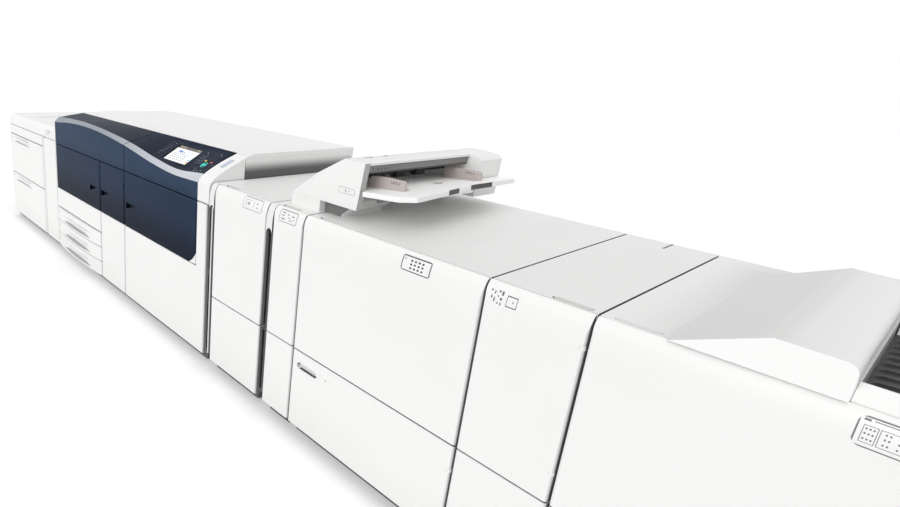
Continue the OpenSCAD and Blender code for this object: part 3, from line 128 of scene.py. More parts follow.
class Finish:
    """A material, or the look of the sky, with its shader's fixed values given by name."""

    def __init__(self, name, slot=None, world=None, **values):
        self.slot = slot or name
        self.material = world or bpy.data.materials.new(name)
        self.material.use_nodes = True
        self.tree = self.material.node_tree
        self.shader = self.tree.nodes["Background" if world else "Principled BSDF"]
        for socket, value in values.items():
            self.shader.inputs[socket.replace("_", " ")].default_value = value

    def node(self, kind, settings=None, sockets=None, out=0):
        """Adds a node with these settings and these values or links at its sockets, and gives one output."""
        made = self.tree.nodes.new(kind)
        for key, value in (settings or {}).items():
            setattr(made, key, value)
        for key, value in (sockets or {}).items():
            if isinstance(value, Wire):
                self.tree.links.new(value.socket, made.inputs[key])
            else:
                made.inputs[key].default_value = value
        return Wire(self, made.outputs[out])

    def sum_of(self, operation, a, b):
        return self.node("ShaderNodeMath", {"operation": operation}, {0: a, 1: b})

    def feed(self, socket, wire):
        self.tree.links.new(wire.socket, self.shader.inputs[socket])

    def way(self, axis, of="Object"):
        """One of the three numbers of a point's place, or of its surface's direction."""
        return self.node("ShaderNodeSeparateXYZ", None, {0: self.node("ShaderNodeTexCoord", out=of)}, axis)

    def shares(self, low, high, ways):
        """How far a point lies from one corner to another, 0 to 1, in each of these ways."""
        return [(self.way(way) - low[way]) / (high[way] - low[way]) for way in ways]

    def held(self, wire, low, high):
        """1 where the value lies between low and high, else 0."""
        return self.node("ShaderNodeMath", {"operation": "COMPARE"},
                         {0: wire, 1: (low + high) / 2, 2: (high - low) / 2})

    def most(self, *wires):
        """The greatest of several values."""
        top = wires[0]
        for wire in wires[1:]:
            top = self.sum_of("MAXIMUM", top, wire)
        return top

    def between(self, value, low, high):
        """How far the value is from low to high, held from 0 to 1."""
        return self.node("ShaderNodeMapRange", {"interpolation_type": "SMOOTHSTEP"},
                         {"Value": value, "From Min": low, "From Max": high})

    def turned(self, axis, low, high):
        """How squarely a face looks along an axis, either way, held from 0 at low to 1 at high."""
        return self.between(abs(self.way(axis, "Normal")), low, high)

    def clouds(self, scale, detail=2, stretch=None):
        """Soft noise, so many lumps a metre, stretched where it is given."""
        place = self.node("ShaderNodeTexCoord", out="Object")
        if stretch:
            place = self.node("ShaderNodeMapping", None, {"Vector": place, "Scale": stretch})
        return self.node("ShaderNodeTexNoise", None, {"Vector": place, "Scale": scale, "Detail": detail})

    def blend(self, share, colour_a, colour_b):
        """Colour a where the share is 0 and colour b where it is 1."""
        return self.node("ShaderNodeMix", {"data_type": "RGBA"}, {0: share, 6: colour_a, 7: colour_b}, 2)

    def mottled(self, scale, light, dark, detail=2):
        """Two near shades that run into each other in soft clouds."""
        return self.blend(self.clouds(scale, detail), shade(*light), shade(*dark))

    def grain(self, height, depth):
        """A bump of that height pattern, at most so many metres deep."""
        self.feed("Normal", self.node("ShaderNodeBump", None,
                                      {"Height": height, "Strength": 1.0, "Distance": depth}))

    def coat(self, colour, lumps, varied, least, grains=0, depth=0, detail=2):
        """The colour, a roughness that varies in lumps above its least, and a grain where one is given."""
        self.feed("Base Color", colour)
        self.feed("Roughness", self.clouds(lumps) * varied + least)
        if grains:
            self.grain(self.clouds(grains, detail), depth)


def shade(red, green, blue):
    """A colour from its three numbers on a screen, 0 to 255."""
    parts = [part / 255 for part in (red, green, blue)]
    return [p / 12.92 if p <= 0.04045 else ((p + 0.055) / 1.055) ** 2.4 for p in parts] + [1]


def seen_white(finish, plain, lit):
    """What the camera, mirrors and glass see is the lit share; all else sees the plain one."""
    rays = ("Is Camera Ray", "Is Glossy Ray", "Is Transmission Ray")
    return finish.most(*[finish.node("ShaderNodeLightPath", out=ray) for ray in rays]) * (lit - plain) + plain


bpy.ops.object.select_all(action="DESELECT")
bpy.ops.mesh.primitive_plane_add(size=60)
floor = bpy.context.object
floor.name = "studio_floor"
floor_finish = Finish("studio_floor", Base_Color=shade(240, 240, 240), Roughness=0.8, Emission_Strength=1.0)
floor_glow = seen_white(floor_finish, 0.0, 0.24)
floor_finish.feed("Emission Color", floor_finish.blend(floor_glow, (0, 0, 0, 1), (1, 1, 1, 1)))
floor.data.materials.append(floor_finish.material)

bpy.context.scene.world = bpy.data.worlds.new("studio_sky")
sky_finish = Finish("studio_sky", world=bpy.context.scene.world, Color=(1, 1, 1, 1))
sky_finish.feed("Strength", seen_white(sky_finish, 0.47, 1.0))

for lamp_name, strength, softness, source in (("aisle_light", 1.28, 40, (0.22, -0.84, 0.50)),
                                              ("ceiling_light", 0.7, 70, (0.05, 0.05, 0.99))):
    soft_light = bpy.data.lights.new(lamp_name, "SUN")
    soft_light.energy, soft_light.angle = strength, math.radians(softness)
    lamp = bpy.data.objects.new(lamp_name, soft_light)
    bpy.context.scene.collection.objects.link(lamp)
    lamp.matrix_world = Vector(source).to_track_quat("Z", "Y").to_matrix().to_4x4()

# The paper feeder
# A sheet-steel cabinet with two deep drawers, closed by moulded white fronts and a white lid with a sunk
# bypass tray. Its parts are screwed to the frame; only the drawers move.
moulded = {"lumps": 9, "varied": 0.10, "least": 0.37, "grains": 650, "depth": 0.00012}
white = Finish("white_panel")
white.coat(white.mottled(2.3, (247, 247, 246), (240, 240, 239), 3), **moulded)

front_top_z, front_dim_z, front_foot_z = 0.90, 0.30, 0.02
front_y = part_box("interface_door")[0].y


def front_finish(name, scooped):
    """The fronts' plastic: greyer low down; painted shade where it faces right, in seams and in a drawer's
    scoop.
    """
    plastic = Finish(name, slot="white_panel")
    deep = plastic.between(plastic.way(1), front_y + 0.002, front_y + 0.007)
    foot = plastic.between(plastic.way(2), front_dim_z, front_foot_z) * 0.35
    plain = plastic.blend(plastic.clouds(2.3, 3) * 0.35 + foot, shade(246, 246, 245), shade(232, 232, 230))
    upright = abs(plastic.way(2, "Normal"))
    # Painted shade in a drawer's scoop, on faces that tilt between upright and level
    scoop = plastic.between(upright, 0.05, 0.4) * plastic.between(upright, 0.97, 0.9) * scooped
    shaded = plastic.blend(scoop, plain, shade(160, 160, 159))
    # Painted shade on faces that turn to the right
    rightward_shade = plastic.between(plastic.way(0, "Normal"), 0.3, 0.95) * 0.5
    aside = plastic.blend(rightward_shade, shaded, shade(140, 140, 140))
    # Painted shade on the sides deep in the seams, and darker painted shade on the level faces there
    seams = plastic.blend(plastic.turned(0, 0.93, 0.995) * deep * 0.8, aside, shade(112, 112, 112))
    level_seam_shade = plastic.turned(2, 0.93, 0.995) * plastic.between(plastic.way(2), front_top_z, front_top_z - 0.02)
    plastic.coat(plastic.blend(level_seam_shade * deep, seams, shade(52, 52, 52)), **moulded)
    return plastic


front = front_finish("front_panel", 0)
drawer_front = front_finish("drawer_panel", 1)


def frame_finish(name, tip, **values):
    """Painted steel with painted shade on the flange behind seams; hinge tips take their doors' colour."""
    steelwork = Finish(name, slot="frame_grey", **values)
    deep = steelwork.way(1) - front_y
    plain = steelwork.mottled(4, (172, 172, 170), (158, 158, 156), 3)
    forward = steelwork.between(steelwork.way(1, "Normal"), -0.5, -0.9)
    # Painted shade on the forward faces of the flange behind the seams
    flange = steelwork.blend(steelwork.between(deep, 0.07, 0.05) * forward, plain, shade(58, 58, 59))
    tips = steelwork.between(deep, 0.029, 0.025)
    steelwork.coat(steelwork.blend(tips, flange, shade(*tip)),
                   lumps=15, varied=0.15, least=0.42, grains=300, depth=0.0002, detail=3)
    return steelwork


frame_grey = frame_finish("frame_grey", (240, 240, 239))


def paint(node, finish):
    """A CAD node that keeps its own shape gets this finish."""
    shape = frame["nodes"][node]
    shape.data.materials.clear()
    shape.data.materials.append(finish.material)


def alone(shape):
    """Only this object is selected, and it is the active one."""
    bpy.ops.object.select_all(action="DESELECT")
    bpy.context.view_layer.objects.active = shape
    shape.select_set(True)


def loose(name, node):
    """A new object with a copy of a CAD node's mesh, which is loose triangles."""
    shape = bpy.data.objects.new(name, frame["nodes"][node].data.copy())
    bpy.context.scene.collection.objects.link(shape)
    shape.data.materials.clear()
    return shape


def merged(shape):
    """Joins loose triangles into whole faces."""
    alone(shape)
    bpy.ops.object.mode_set(mode="EDIT")
    bpy.ops.mesh.select_all(action="SELECT")
    bpy.ops.mesh.remove_doubles(threshold=0.00002)
    bpy.ops.mesh.dissolve_limited(angle_limit=math.radians(0.5))
    bpy.ops.object.mode_set(mode="OBJECT")
    return shape


def picked(shape, wanted):
    """Selects the faces that are wanted and leaves the mesh in edit mode."""
    alone(shape)
    bpy.ops.object.mode_set(mode="EDIT")
    bpy.ops.mesh.select_mode(type="FACE")
    bpy.ops.mesh.select_all(action="DESELECT")
    bpy.ops.object.mode_set(mode="OBJECT")
    for face in shape.data.polygons:
        face.select = bool(wanted(face))
    bpy.ops.object.mode_set(mode="EDIT")


def applied(shape, kind, **settings):
    """Adds a modifier with these settings and applies it."""
    modifier = shape.modifiers.new(kind.lower(), kind)
    for setting, value in settings.items():
        setattr(modifier, setting, value)
    alone(shape)
    bpy.ops.object.modifier_apply(modifier=modifier.name)


def fitted(shape, node, finish):
    """The piece moves with the CAD node's body and takes this finish."""
    shape.data.materials.clear()
    shape.data.materials.append(finish.material)
    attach(shape, body_of(frame["nodes"][node])[0])


def finished(shape, node, finish, edge):
    """A piece that stands for a CAD node, its sharp edges rounded as the real part's are.

    The shading comes last, so that flat faces stay flat.
    """
    merged(shape)
    applied(shape, "BEVEL", width=edge, segments=2, limit_method="ANGLE",
            angle_limit=math.radians(32), use_clamp_overlap=True)
    bpy.ops.object.shade_smooth_by_angle(angle=math.radians(50))
    applied(shape, "WEIGHTED_NORMAL", keep_sharp=True, weight=60)
    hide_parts(node)
    fitted(shape, node, finish)


def dressed(node, finish, edge):
    """The finished piece for a whole CAD node."""
    finished(loose(node + "_finished", node), node, finish, edge)


def trimmed(point, outward):
    """Cuts the mesh in edit mode with a plane and drops what lies beyond it."""
    bpy.ops.mesh.select_all(action="SELECT")
    bpy.ops.mesh.bisect(plane_co=point, plane_no=outward, clear_outer=True)


def inlaid(name, node, finish, low, high, side, corner=0, raised=0.0008):
    """A thin plate on a CAD node's surface, between two corners, where that surface faces the side.

    None leaves a way open. The corner is the radius of the plate's corners in its two cut ways.
    """
    shape = merged(loose(name, node))
    bpy.ops.object.mode_set(mode="EDIT")
    cut_ways = [way for way in range(3) if low[way] is not None]
    for way in cut_ways:
        for bound, sign in ((low[way], -1), (high[way], 1)):
            trimmed([bound if axis == way else 0 for axis in range(3)],
                    [sign if axis == way else 0 for axis in range(3)])
    if corner:
        a, b = cut_ways
        for sign_a in (-1, 1):
            for sign_b in (-1, 1):
                for angle in (22.5, 45, 67.5):
                    point, outward = [0, 0, 0], [0, 0, 0]
                    outward[a] = sign_a * math.cos(math.radians(angle))
                    outward[b] = sign_b * math.sin(math.radians(angle))
                    for way, sign in ((a, sign_a), (b, sign_b)):
                        edge = high[way] if sign > 0 else low[way]
                        point[way] = edge - sign * corner + corner * outward[way]
                    trimmed(point, outward)
    bpy.ops.object.mode_set(mode="OBJECT")
    picked(shape, lambda face: face.normal.dot(Vector(side).normalized()) < 0.5)
    bpy.ops.mesh.delete(type="FACE")
    bpy.ops.object.mode_set(mode="OBJECT")
    applied(shape, "SOLIDIFY", thickness=raised, offset=0.6)
    bpy.ops.object.shade_smooth_by_angle(angle=math.radians(30))
    fitted(shape, node, finish)


def printed(name, slot, ground, ink, low, high, ways, marks, rim=0, **values):
    """A plate's finish: marks of ink on a ground, each mark's edges given as shares of the plate.

    The rim is the breadth of a printed line round the plate, in metres.
    """
    sheet = Finish(name, slot, **values)
    across, up = sheet.shares(low, high, ways)
    inked = [sheet.held(across, *mark[:2]) * sheet.held(up, *mark[2:]) for mark in marks]
    if rim:
        rim_across, rim_up = [rim / (high[way] - low[way]) for way in ways]
        inked.append(1 - sheet.held(across, rim_across, 1 - rim_across) * sheet.held(up, rim_up, 1 - rim_up))
    plain = sheet.mottled(40, ground, [0.97 * part for part in ground], 3)
    sheet.coat(sheet.blend(sheet.most(*inked), plain, shade(*ink)), lumps=90, varied=0.1, least=0.35)
    return sheet


# Rolled edges and fronts face this way, for plates that lie on them
fronts_face = (0, -1, 0.35)


def front_plate(name, node, left, breadth, down, height, ink, marks, rim=0.0022, ground=(246, 246, 245),
                corner=0.008, slot="white_panel"):
    """A printed plate on a front or on its rolled edge, so far from the node's left side and down its top."""
    node_low, node_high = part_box(node)
    low = (node_low.x + left, None, node_high.z - down - height)
    high = (node_low.x + left + breadth, None, node_high.z - down)
    sheet = printed(name, slot, ground, ink, low, high, (0, 2), marks, rim)
    inlaid(name, node, sheet, low, high, fronts_face, corner)


def dot(name, node, left, down, size):
    """A small round printed mark, its middle so far from the node's left side and down its top."""
    front_plate(name, node, left - size / 2, size, down - size / 2, size, (150, 150, 150), [(0, 1, 0, 1)],
                corner=size * 0.45)


paint("feeder_frame", frame_grey)
dressed("feeder_top_cover", white, 0.002)
dressed("feeder_header", front, 0.003)
dressed("feeder_column_cover", front, 0.003)
dressed("feeder_upper_drawer", drawer_front, 0.003)
dressed("feeder_lower_drawer", drawer_front, 0.003)

front_plate("feeder_sign", "feeder_top_cover", left=1.016, breadth=0.170, down=0.078, height=0.043,
            ink=(178, 178, 178), marks=[(0.22, 0.40, 0.55, 0.8), (0.5, 0.72, 0.5, 0.8),
                                        (0.3, 0.42, 0.2, 0.4), (0.55, 0.66, 0.2, 0.35)])
for drawer in ("upper", "lower"):
    dot("feeder_%s_mark" % drawer, "feeder_%s_drawer" % drawer, left=0.06, down=0.03, size=0.015)

# The print engine's body
# The largest unit: a welded frame closed by steel side walls, two roof lids and moulded ends. The right
# end rises to a shoulder that carries the power switch.
switch_grey = Finish("switch_grey")
switch_grey.coat(switch_grey.mottled(60, (196, 206, 220), (186, 197, 212)),
                 lumps=90, varied=0.1, least=0.3, grains=900, depth=0.0001)

# The right-hand wall gets a painted shade low down, towards the next unit's lid
wall = Finish("side_wall", slot="white_panel")
wall_top_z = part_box("engine_side_covers")[1].z
wall_low_shade = wall.between(wall.way(2), wall_top_z - 0.017, wall_top_z - 0.087) * wall.held(wall.way(0), 0, 1)
wall_plain = wall.mottled(2.3, (245, 245, 244), (238, 238, 237), 3)
wall.coat(wall.blend(wall_low_shade, wall_plain, shade(90, 90, 90)), **moulded)

# The roof's lids, with the shadow in the joint between them
roof = Finish("roof_lid", slot="top_cover_grey")
roof_low, roof_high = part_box("engine_roof_covers")
roof_joint = roof.turned(0, 0.9, 0.99) * roof.held(roof.way(0), roof_low.x + 0.1, roof_high.x - 0.1)
roof_plain = roof.mottled(2.3, (248, 248, 247), (241, 241, 240), 3)
roof.coat(roof.blend(roof_joint * 0.7, roof_plain, shade(90, 90, 90)), **moulded)

# The engine's hinge tips are near black, a painted shade like that in the navy doors' gaps
paint("engine_frame", frame_finish("engine_frame_grey", (12, 19, 30), Specular_IOR_Level=0.1))
dressed("engine_side_covers", wall, 0.002)
dressed("engine_roof_covers", roof, 0.0015)
dressed("engine_left_end", white, 0.003)
dressed("engine_right_end", white, 0.001)
dressed("power_switch", switch_grey, 0.0008)
dressed("engine_lower_panels", front, 0.003)
for number in ("1", "2", "3"):
    drawer = "paper_drawer_" + number
    dressed(drawer, drawer_front, 0.002)
    dot(drawer + "_mark", drawer, left=0.05, down=0.035, size=0.012)

# The navy hoods and doors
# Satin navy mouldings over the toner bay and the console, edged by one silver band that follows the
# front of both, above three navy doors hinged to the frame.
hoods_foot_z, doors_top_z, doors_dim_z, doors_foot_z = 0.95, 0.85, 0.80, 0.56
navy = Finish("navy_cover", Specular_IOR_Level=0.04)
# Painted shade: up-tilted faces darker than fronts, doors darker than hoods, darker still at their feet
navy_top_shade = navy.between(navy.way(2, "Normal"), 0.35, 0.75)
navy_hoods = navy.blend(navy_top_shade, shade(52, 69, 94), shade(20, 32, 52))
navy_low_shade = navy.between(navy.way(2), hoods_foot_z, doors_top_z)
navy_doors = navy.blend(navy_low_shade, navy_hoods, shade(40, 55, 77))
navy_foot_shade = navy.between(navy.way(2), doors_dim_z, doors_foot_z)
navy_body = navy.blend(navy_foot_shade, navy_doors, shade(23, 33, 49))

# Painted shade makes the doors' finger recesses and the sides in the gaps nearly black
recess_foot_z, recess_top_z = 0.645, 0.705
recess_depth = navy.way(1) - front_y
navy_recess_shade = navy.between(recess_depth, 0.0004, 0.006) * navy.held(recess_depth, 0, 0.018) * navy.held(
    navy.way(2), recess_foot_z, recess_top_z)
navy_shade_and_mottle = navy.most(navy_recess_shade, navy.turned(0, 0.9, 0.99), navy.clouds(5, 3) * 0.25)
navy.coat(navy.blend(navy_shade_and_mottle, navy_body, shade(12, 16, 24)),
          lumps=20, varied=0.08, least=0.38, grains=800, depth=0.0001)

# The band is brushed lengthwise, with painted light brighter towards the right and painted shade on its sides
silver = Finish("silver_trim", Metallic=0.45)
band_dull_x, band_bright_x = -1.2, 0.1
silver_light_along = silver.between(silver.way(0), band_dull_x, band_bright_x)
silver_plain = silver.blend(silver_light_along, shade(136, 143, 154), shade(212, 216, 222))
silver_brushed = silver.blend(silver.clouds(30, 2, (0.1, 1, 1)) * 0.3, silver_plain, shade(150, 157, 168))
silver.feed("Base Color", silver.blend(silver.turned(0, 0.7, 0.95), silver_brushed, shade(24, 28, 36)))
silver.feed("Roughness", silver.clouds(400, 2, (0.02, 1, 1)) * 0.14 + 0.3)
silver.grain(silver.clouds(700, 2, (0.02, 1, 1)), 0.00008)

dressed("toner_hood", navy, 0.0015)
dressed("console_cover", navy, 0.0015)
dressed("trim_band_left", silver, 0.0008)
dressed("trim_band_right", silver, 0.0008)
dressed("left_door", navy, 0.003)
dressed("middle_door", navy, 0.003)

# The right door's lower corner is cut round, and a white piece fills what is left of the corner. Both
# come from the CAD door by one cutter each, a block with a round hole.
corner_r, corner_gap, corner_t = 0.100, 0.006, 0.014
door_low, door_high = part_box("right_door")
corner_axis = Vector((door_high.x - corner_r, door_low.y, door_low.z + corner_r))


def corner_cut(name, radius, kind):
    """The door's mesh less the cutter of this radius, or what it shares with it."""
    bpy.ops.mesh.primitive_cube_add(size=1)
    cutter = bpy.context.object
    cutter.scale = (corner_r * 1.1, corner_t * 2, corner_r * 1.1)
    cutter.location = corner_axis + Vector((corner_r * 0.55, 0, -corner_r * 0.55))
    bpy.ops.mesh.primitive_cylinder_add(vertices=96, radius=radius, depth=corner_t * 4, location=corner_axis,
                                        rotation=(math.radians(90), 0, 0))
    hole = bpy.context.object
    applied(cutter, "BOOLEAN", operation="DIFFERENCE", solver="EXACT", object=hole)
    shape = merged(loose(name, "right_door"))
    applied(shape, "BOOLEAN", operation=kind, solver="EXACT", object=cutter)
    for tool in (cutter, hole):
        bpy.data.objects.remove(tool)
    return shape


finished(corner_cut("right_door_corner", corner_r + corner_gap, "INTERSECT"), "right_door", front, 0.0015)
finished(corner_cut("right_door_finished", corner_r, "DIFFERENCE"), "right_door", navy, 0.003)

# The console
# A touch screen under glass and three moulded keys, set square into the hood's slope, with a printed
# membrane, a small keypad, a lit ring and a green lamp.
display = Finish("touch_display", slot="screen_glass", Coat_Weight=0.3, Coat_Roughness=0.05,
                 Emission_Strength=0.12)
display_u, display_v = display.shares(*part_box("touch_screen"), (0, 1))


def block(left, right, foot, top):
    """1 on a rectangle of the display, given in shares of it."""
    return display.held(display_u, left, right) * display.held(display_v, foot, top)


def tiles(columns, rows, breadth, height):
    """Rows and columns of small blocks all over the display."""
    column = display.node("ShaderNodeMath", {"operation": "FRACT"}, {0: display_u * columns})
    row = display.node("ShaderNodeMath", {"operation": "FRACT"}, {0: display_v * rows})
    return display.held(column, 0.5 - breadth / 2, 0.5 + breadth / 2) * display.held(
        row, 0.5 - height / 2, 0.5 + height / 2)


picture = shade(34, 34, 38)
for mask, colour in (
        (block(0.02, 0.98, 0.82, 0.98), (70, 64, 58)), (block(0.05, 0.34, 0.88, 0.95), (150, 140, 122)),
        (block(0.80, 0.93, 0.88, 0.95), (150, 134, 100)), (block(0.02, 0.98, 0.03, 0.81), (250, 251, 252)),
        (block(0.22, 0.38, 0.58, 0.70), (74, 122, 214)), (block(0.42, 0.50, 0.58, 0.64), (120, 150, 200)),
        (block(0.12, 0.72, 0.10, 0.52) * tiles(11, 9, 0.5, 0.4), (84, 92, 110)),
        (block(0.55, 0.88, 0.56, 0.74) * tiles(13, 16, 0.6, 0.35), (128, 134, 146)),
        (block(0.90, 0.97, 0.06, 0.13), (226, 214, 60)), (block(0.90, 0.97, 0.15, 0.22), (226, 80, 150)),
        (block(0.88, 0.95, 0.26, 0.35), (84, 200, 222))):
    picture = display.blend(mask, picture, shade(*colour))
display.coat(picture, lumps=70, varied=0.05, least=0.2)
display.feed("Emission Color", picture)
dressed("touch_screen", display, 0.001)

slab = max(frame["nodes"]["touch_screen"].data.polygons, key=lambda face: (face.normal.z > 0, face.area))
slope = slab.normal.copy()
console_low, console_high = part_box("console_cover")

# The printed membrane round the screen, with its small symbols
legend_low = (console_low.x + 0.2655, console_low.y + 0.040, None)
legend_high = (console_high.x - 0.0235, console_low.y + 0.200, None)
symbol_w, symbol_h = 0.009, 0.02
legend_marks = []
for step in range(8):
    u, v = 0.05 + 0.0075 * step, 0.25 + 0.088 * step
    legend_marks.append((u, u + symbol_w, v, v + symbol_h + 0.012 * (step % 2)))
for u, v in ((0.705, 0.88), (0.725, 0.84), (0.91, 0.93), (0.93, 0.88), (0.95, 0.86), (0.81, 0.08),
             (0.835, 0.05), (0.86, 0.09), (0.885, 0.06), (0.80, 0.16), (0.975, 0.40)):
    legend_marks.append((u, u + symbol_w, v, v + symbol_h))
legend = printed("console_legend", "navy_cover", (27, 35, 52), (186, 194, 206), legend_low, legend_high,
                 (0, 1), legend_marks, Specular_IOR_Level=0.05)
inlaid("console_legend", "console_cover", legend, legend_low, legend_high, slope, corner=0.012,
       raised=0.0004)

# The keypad, four rows of four small keys
keypad_left, keypad_front, keypad_side = console_high.x - 0.2035, console_low.y + 0.097, 0.068
keypad_low = (keypad_left, keypad_front, None)
keypad_high = (keypad_left + keypad_side, keypad_front + keypad_side, None)
keypad_marks = [(0.08 + 0.24 * column, 0.2 + 0.24 * column, 0.08 + 0.24 * row, 0.18 + 0.24 * row)
                for column in range(4) for row in range(4)]
keypad = printed("keypad", "navy_cover", (30, 38, 56), (98, 108, 128), keypad_low, keypad_high,
                 (0, 1), keypad_marks, Specular_IOR_Level=0.05)
inlaid("number_keys", "console_cover", keypad, keypad_low, keypad_high, slope, corner=0.004, raised=0.0012)

# The three keys, moulded in their own colours
caps = {}
for key, slot, light, dark in (("start", "key_turquoise", (63, 214, 208), (52, 202, 196)),
                               ("stop", "key_red", (232, 92, 98), (220, 80, 86)),
                               ("clear", "key_yellow", (238, 220, 84), (228, 208, 70))):
    caps[key] = Finish(slot, Specular_IOR_Level=0.3)
    caps[key].coat(caps[key].mottled(120, light, dark), lumps=200, varied=0.08, least=0.3)
    dressed(key + "_button", caps[key], 0.0008)

# The lit ring round the start key, flat on the hood
ring_radius, ring_bead = 0.0185, 0.0030
key_low, key_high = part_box("start_button")
key_middle = (key_low + key_high) / 2
hood_faces = [face for face in frame["nodes"]["console_cover"].data.polygons if face.normal.dot(slope) > 0.99]
hood_face = min(hood_faces, key=lambda face: (face.center - key_middle).length)
on_hood = key_middle + (hood_face.center - key_middle).dot(slope) * slope
bpy.ops.object.select_all(action="DESELECT")
bpy.ops.mesh.primitive_torus_add(major_segments=48, minor_segments=8, major_radius=ring_radius,
                                 minor_radius=ring_bead, location=on_hood,
                                 rotation=slope.to_track_quat("Z", "Y").to_euler())
ring = bpy.context.object
ring.name = "start_ring"
ring.scale = (1.15, 1, 0.5)
bpy.ops.object.transform_apply(location=True, rotation=True, scale=True)
bpy.ops.object.shade_smooth()
fitted(ring, "console_cover", caps["start"])

# The green lamp near the hood's front edge
ready = Finish("ready_lamp", slot="green_plastic", Emission_Strength=0.3)
ready_colour = ready.mottled(400, (84, 206, 122), (70, 190, 108))
ready.feed("Base Color", ready_colour)
ready.feed("Emission Color", ready_colour)
ready_x, ready_y, ready_r = console_high.x - 0.0635, console_low.y + 0.056, 0.0035
inlaid("ready_lamp", "console_cover", ready, (ready_x - ready_r, ready_y - ready_r, None),
       (ready_x + ready_r, ready_y + ready_r, None), slope, corner=ready_r * 0.95, raised=0.0012)

# Inside the engine
# Moulded toner bottles behind the hood, drum units and the transfer belt's green lever behind the doors,
# and the fuser's painted front plate with its green knob. They show when the doors stand open.
dark_plastic = Finish("dark_plastic")
dark_plastic.coat(dark_plastic.mottled(8, (62, 62, 64), (50, 50, 53), 3),
                  lumps=60, varied=0.12, least=0.42, grains=500, depth=0.0002)
green = Finish("green_plastic")
green.coat(green.mottled(30, (38, 140, 84), (30, 122, 72), 3),
           lumps=90, varied=0.1, least=0.35, grains=700, depth=0.00015)

dressed("toner_cartridges", dark_plastic, 0.0015)
dressed("drum_units", dark_plastic, 0.0015)
dressed("transfer_lever", green, 0.0015)
dressed("fuser_unit", frame_grey, 0.0015)
dressed("fuser_knob", green, 0.001)

# The interface unit and the bridge unit
# Two narrow steel cabinets that cool the sheets and carry them on, each with one tall moulded door on
# hinges. A small printed chart of the paper path is stuck on each door's rolled top edge.
paint("interface_frame", frame_grey)
dressed("interface_door", front, 0.003)
front_plate("interface_chart", "interface_door", left=0.225, breadth=0.137, down=0.004, height=0.054,
            ink=(168, 168, 168), marks=[(0.14, 0.16, 0.2, 0.8), (0.16, 0.44, 0.76, 0.8),
                                        (0.24, 0.36, 0.38, 0.6), (0.54, 0.56, 0.2, 0.8),
                                        (0.68, 0.78, 0.62, 0.7), (0.70, 0.80, 0.3, 0.38)], rim=0.003)
paint("bridge_frame", frame_grey)
dressed("bridge_door", front, 0.003)
front_plate("bridge_chart", "bridge_door", left=0.034, breadth=0.108, down=0.006, height=0.050,
            ink=(150, 150, 150), marks=[(0.12, 0.34, 0.74, 0.82), (0.12, 0.30, 0.52, 0.60),
                                        (0.14, 0.34, 0.22, 0.34), (0.44, 0.56, 0.66, 0.74),
                                        (0.50, 0.66, 0.46, 0.52), (0.70, 0.84, 0.62, 0.72),
                                        (0.56, 0.74, 0.24, 0.32), (0.78, 0.86, 0.36, 0.44)], rim=0.003)

# The sheet inserter
# A tray for covers on top of the bridge unit: moulded pods and a lifting head over a feed roller, with a
# grey fascia under the head's lid that is partly painted shade.
tan = (202, 193, 190)
guide_tan = Finish("guide_plastic")
guide_tan.coat(guide_tan.mottled(20, tan, (192, 183, 179), 3),
               lumps=90, varied=0.1, least=0.4, grains=600, depth=0.00015)
rubber = Finish("roller_rubber")
rubber.coat(rubber.mottled(120, (56, 56, 56), (42, 42, 43), 3),
            lumps=200, varied=0.1, least=0.7, grains=1500, depth=0.0002)
# The tray's white is a touch brighter than the other white parts, a painted light
bright = Finish("tray_white", slot="white_panel", Specular_IOR_Level=0.3)
bright.coat(bright.mottled(4, (254, 254, 253), (250, 250, 249), 3),
            lumps=12, varied=0.1, least=0.4, grains=650, depth=0.0001)

# Painted shade darkens the inside of the feed slot behind the tray and the foot of the base's front
throat = Finish("inserter_shell", slot="white_panel")
base_low, base_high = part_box("inserter_base")
slot_foot_z = base_low.z + 0.088
throat_slot_shade = throat.between(throat.way(0), base_low.x + 0.165, base_low.x + 0.169) * throat.between(
    throat.way(2), slot_foot_z, slot_foot_z + 0.006) * throat.held(
    throat.way(1), base_low.y + 0.034, base_high.y - 0.176)
throat_foot_shade = throat.between(throat.way(1), base_low.y + 0.004, base_low.y + 0.010) * throat.between(
    throat.way(1, "Normal"), -0.5, -0.9) * throat.between(throat.way(2), slot_foot_z, slot_foot_z - 0.008)
throat_plain = throat.mottled(2.3, (247, 247, 246), (240, 240, 239), 3)
throat_shell = throat.blend(throat_foot_shade, throat_plain, shade(120, 120, 119))
throat.coat(throat.blend(throat_slot_shade, throat_shell, shade(40, 39, 38)), **moulded)

# The near pod's faces that look right or down get a painted shade of darker grey
pod_white = Finish("pod_shell", slot="white_panel")
pod_plain = pod_white.mottled(2.3, (247, 247, 246), (240, 240, 239), 3)
pod_turned_shade = pod_white.most(pod_white.between(pod_white.way(0, "Normal"), 0.2, 0.9),
                            pod_white.between(pod_white.way(2, "Normal"), -0.3, -0.8))
pod_white.coat(pod_white.blend(pod_turned_shade, pod_plain, shade(182, 182, 181)), **moulded)

dressed("inserter_base", throat, 0.003)
dressed("inserter_near_pod", pod_white, 0.003)
dressed("inserter_far_pod", white, 0.003)
dressed("inserter_head", white, 0.002)
dressed("feed_roller", rubber, 0.001)
dressed("inserter_tray", bright, 0.002)
dressed("tray_extension", bright, 0.001)
dressed("near_guide", guide_tan, 0.001)
dressed("far_guide", guide_tan, 0.001)

head_low, head_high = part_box("inserter_head")
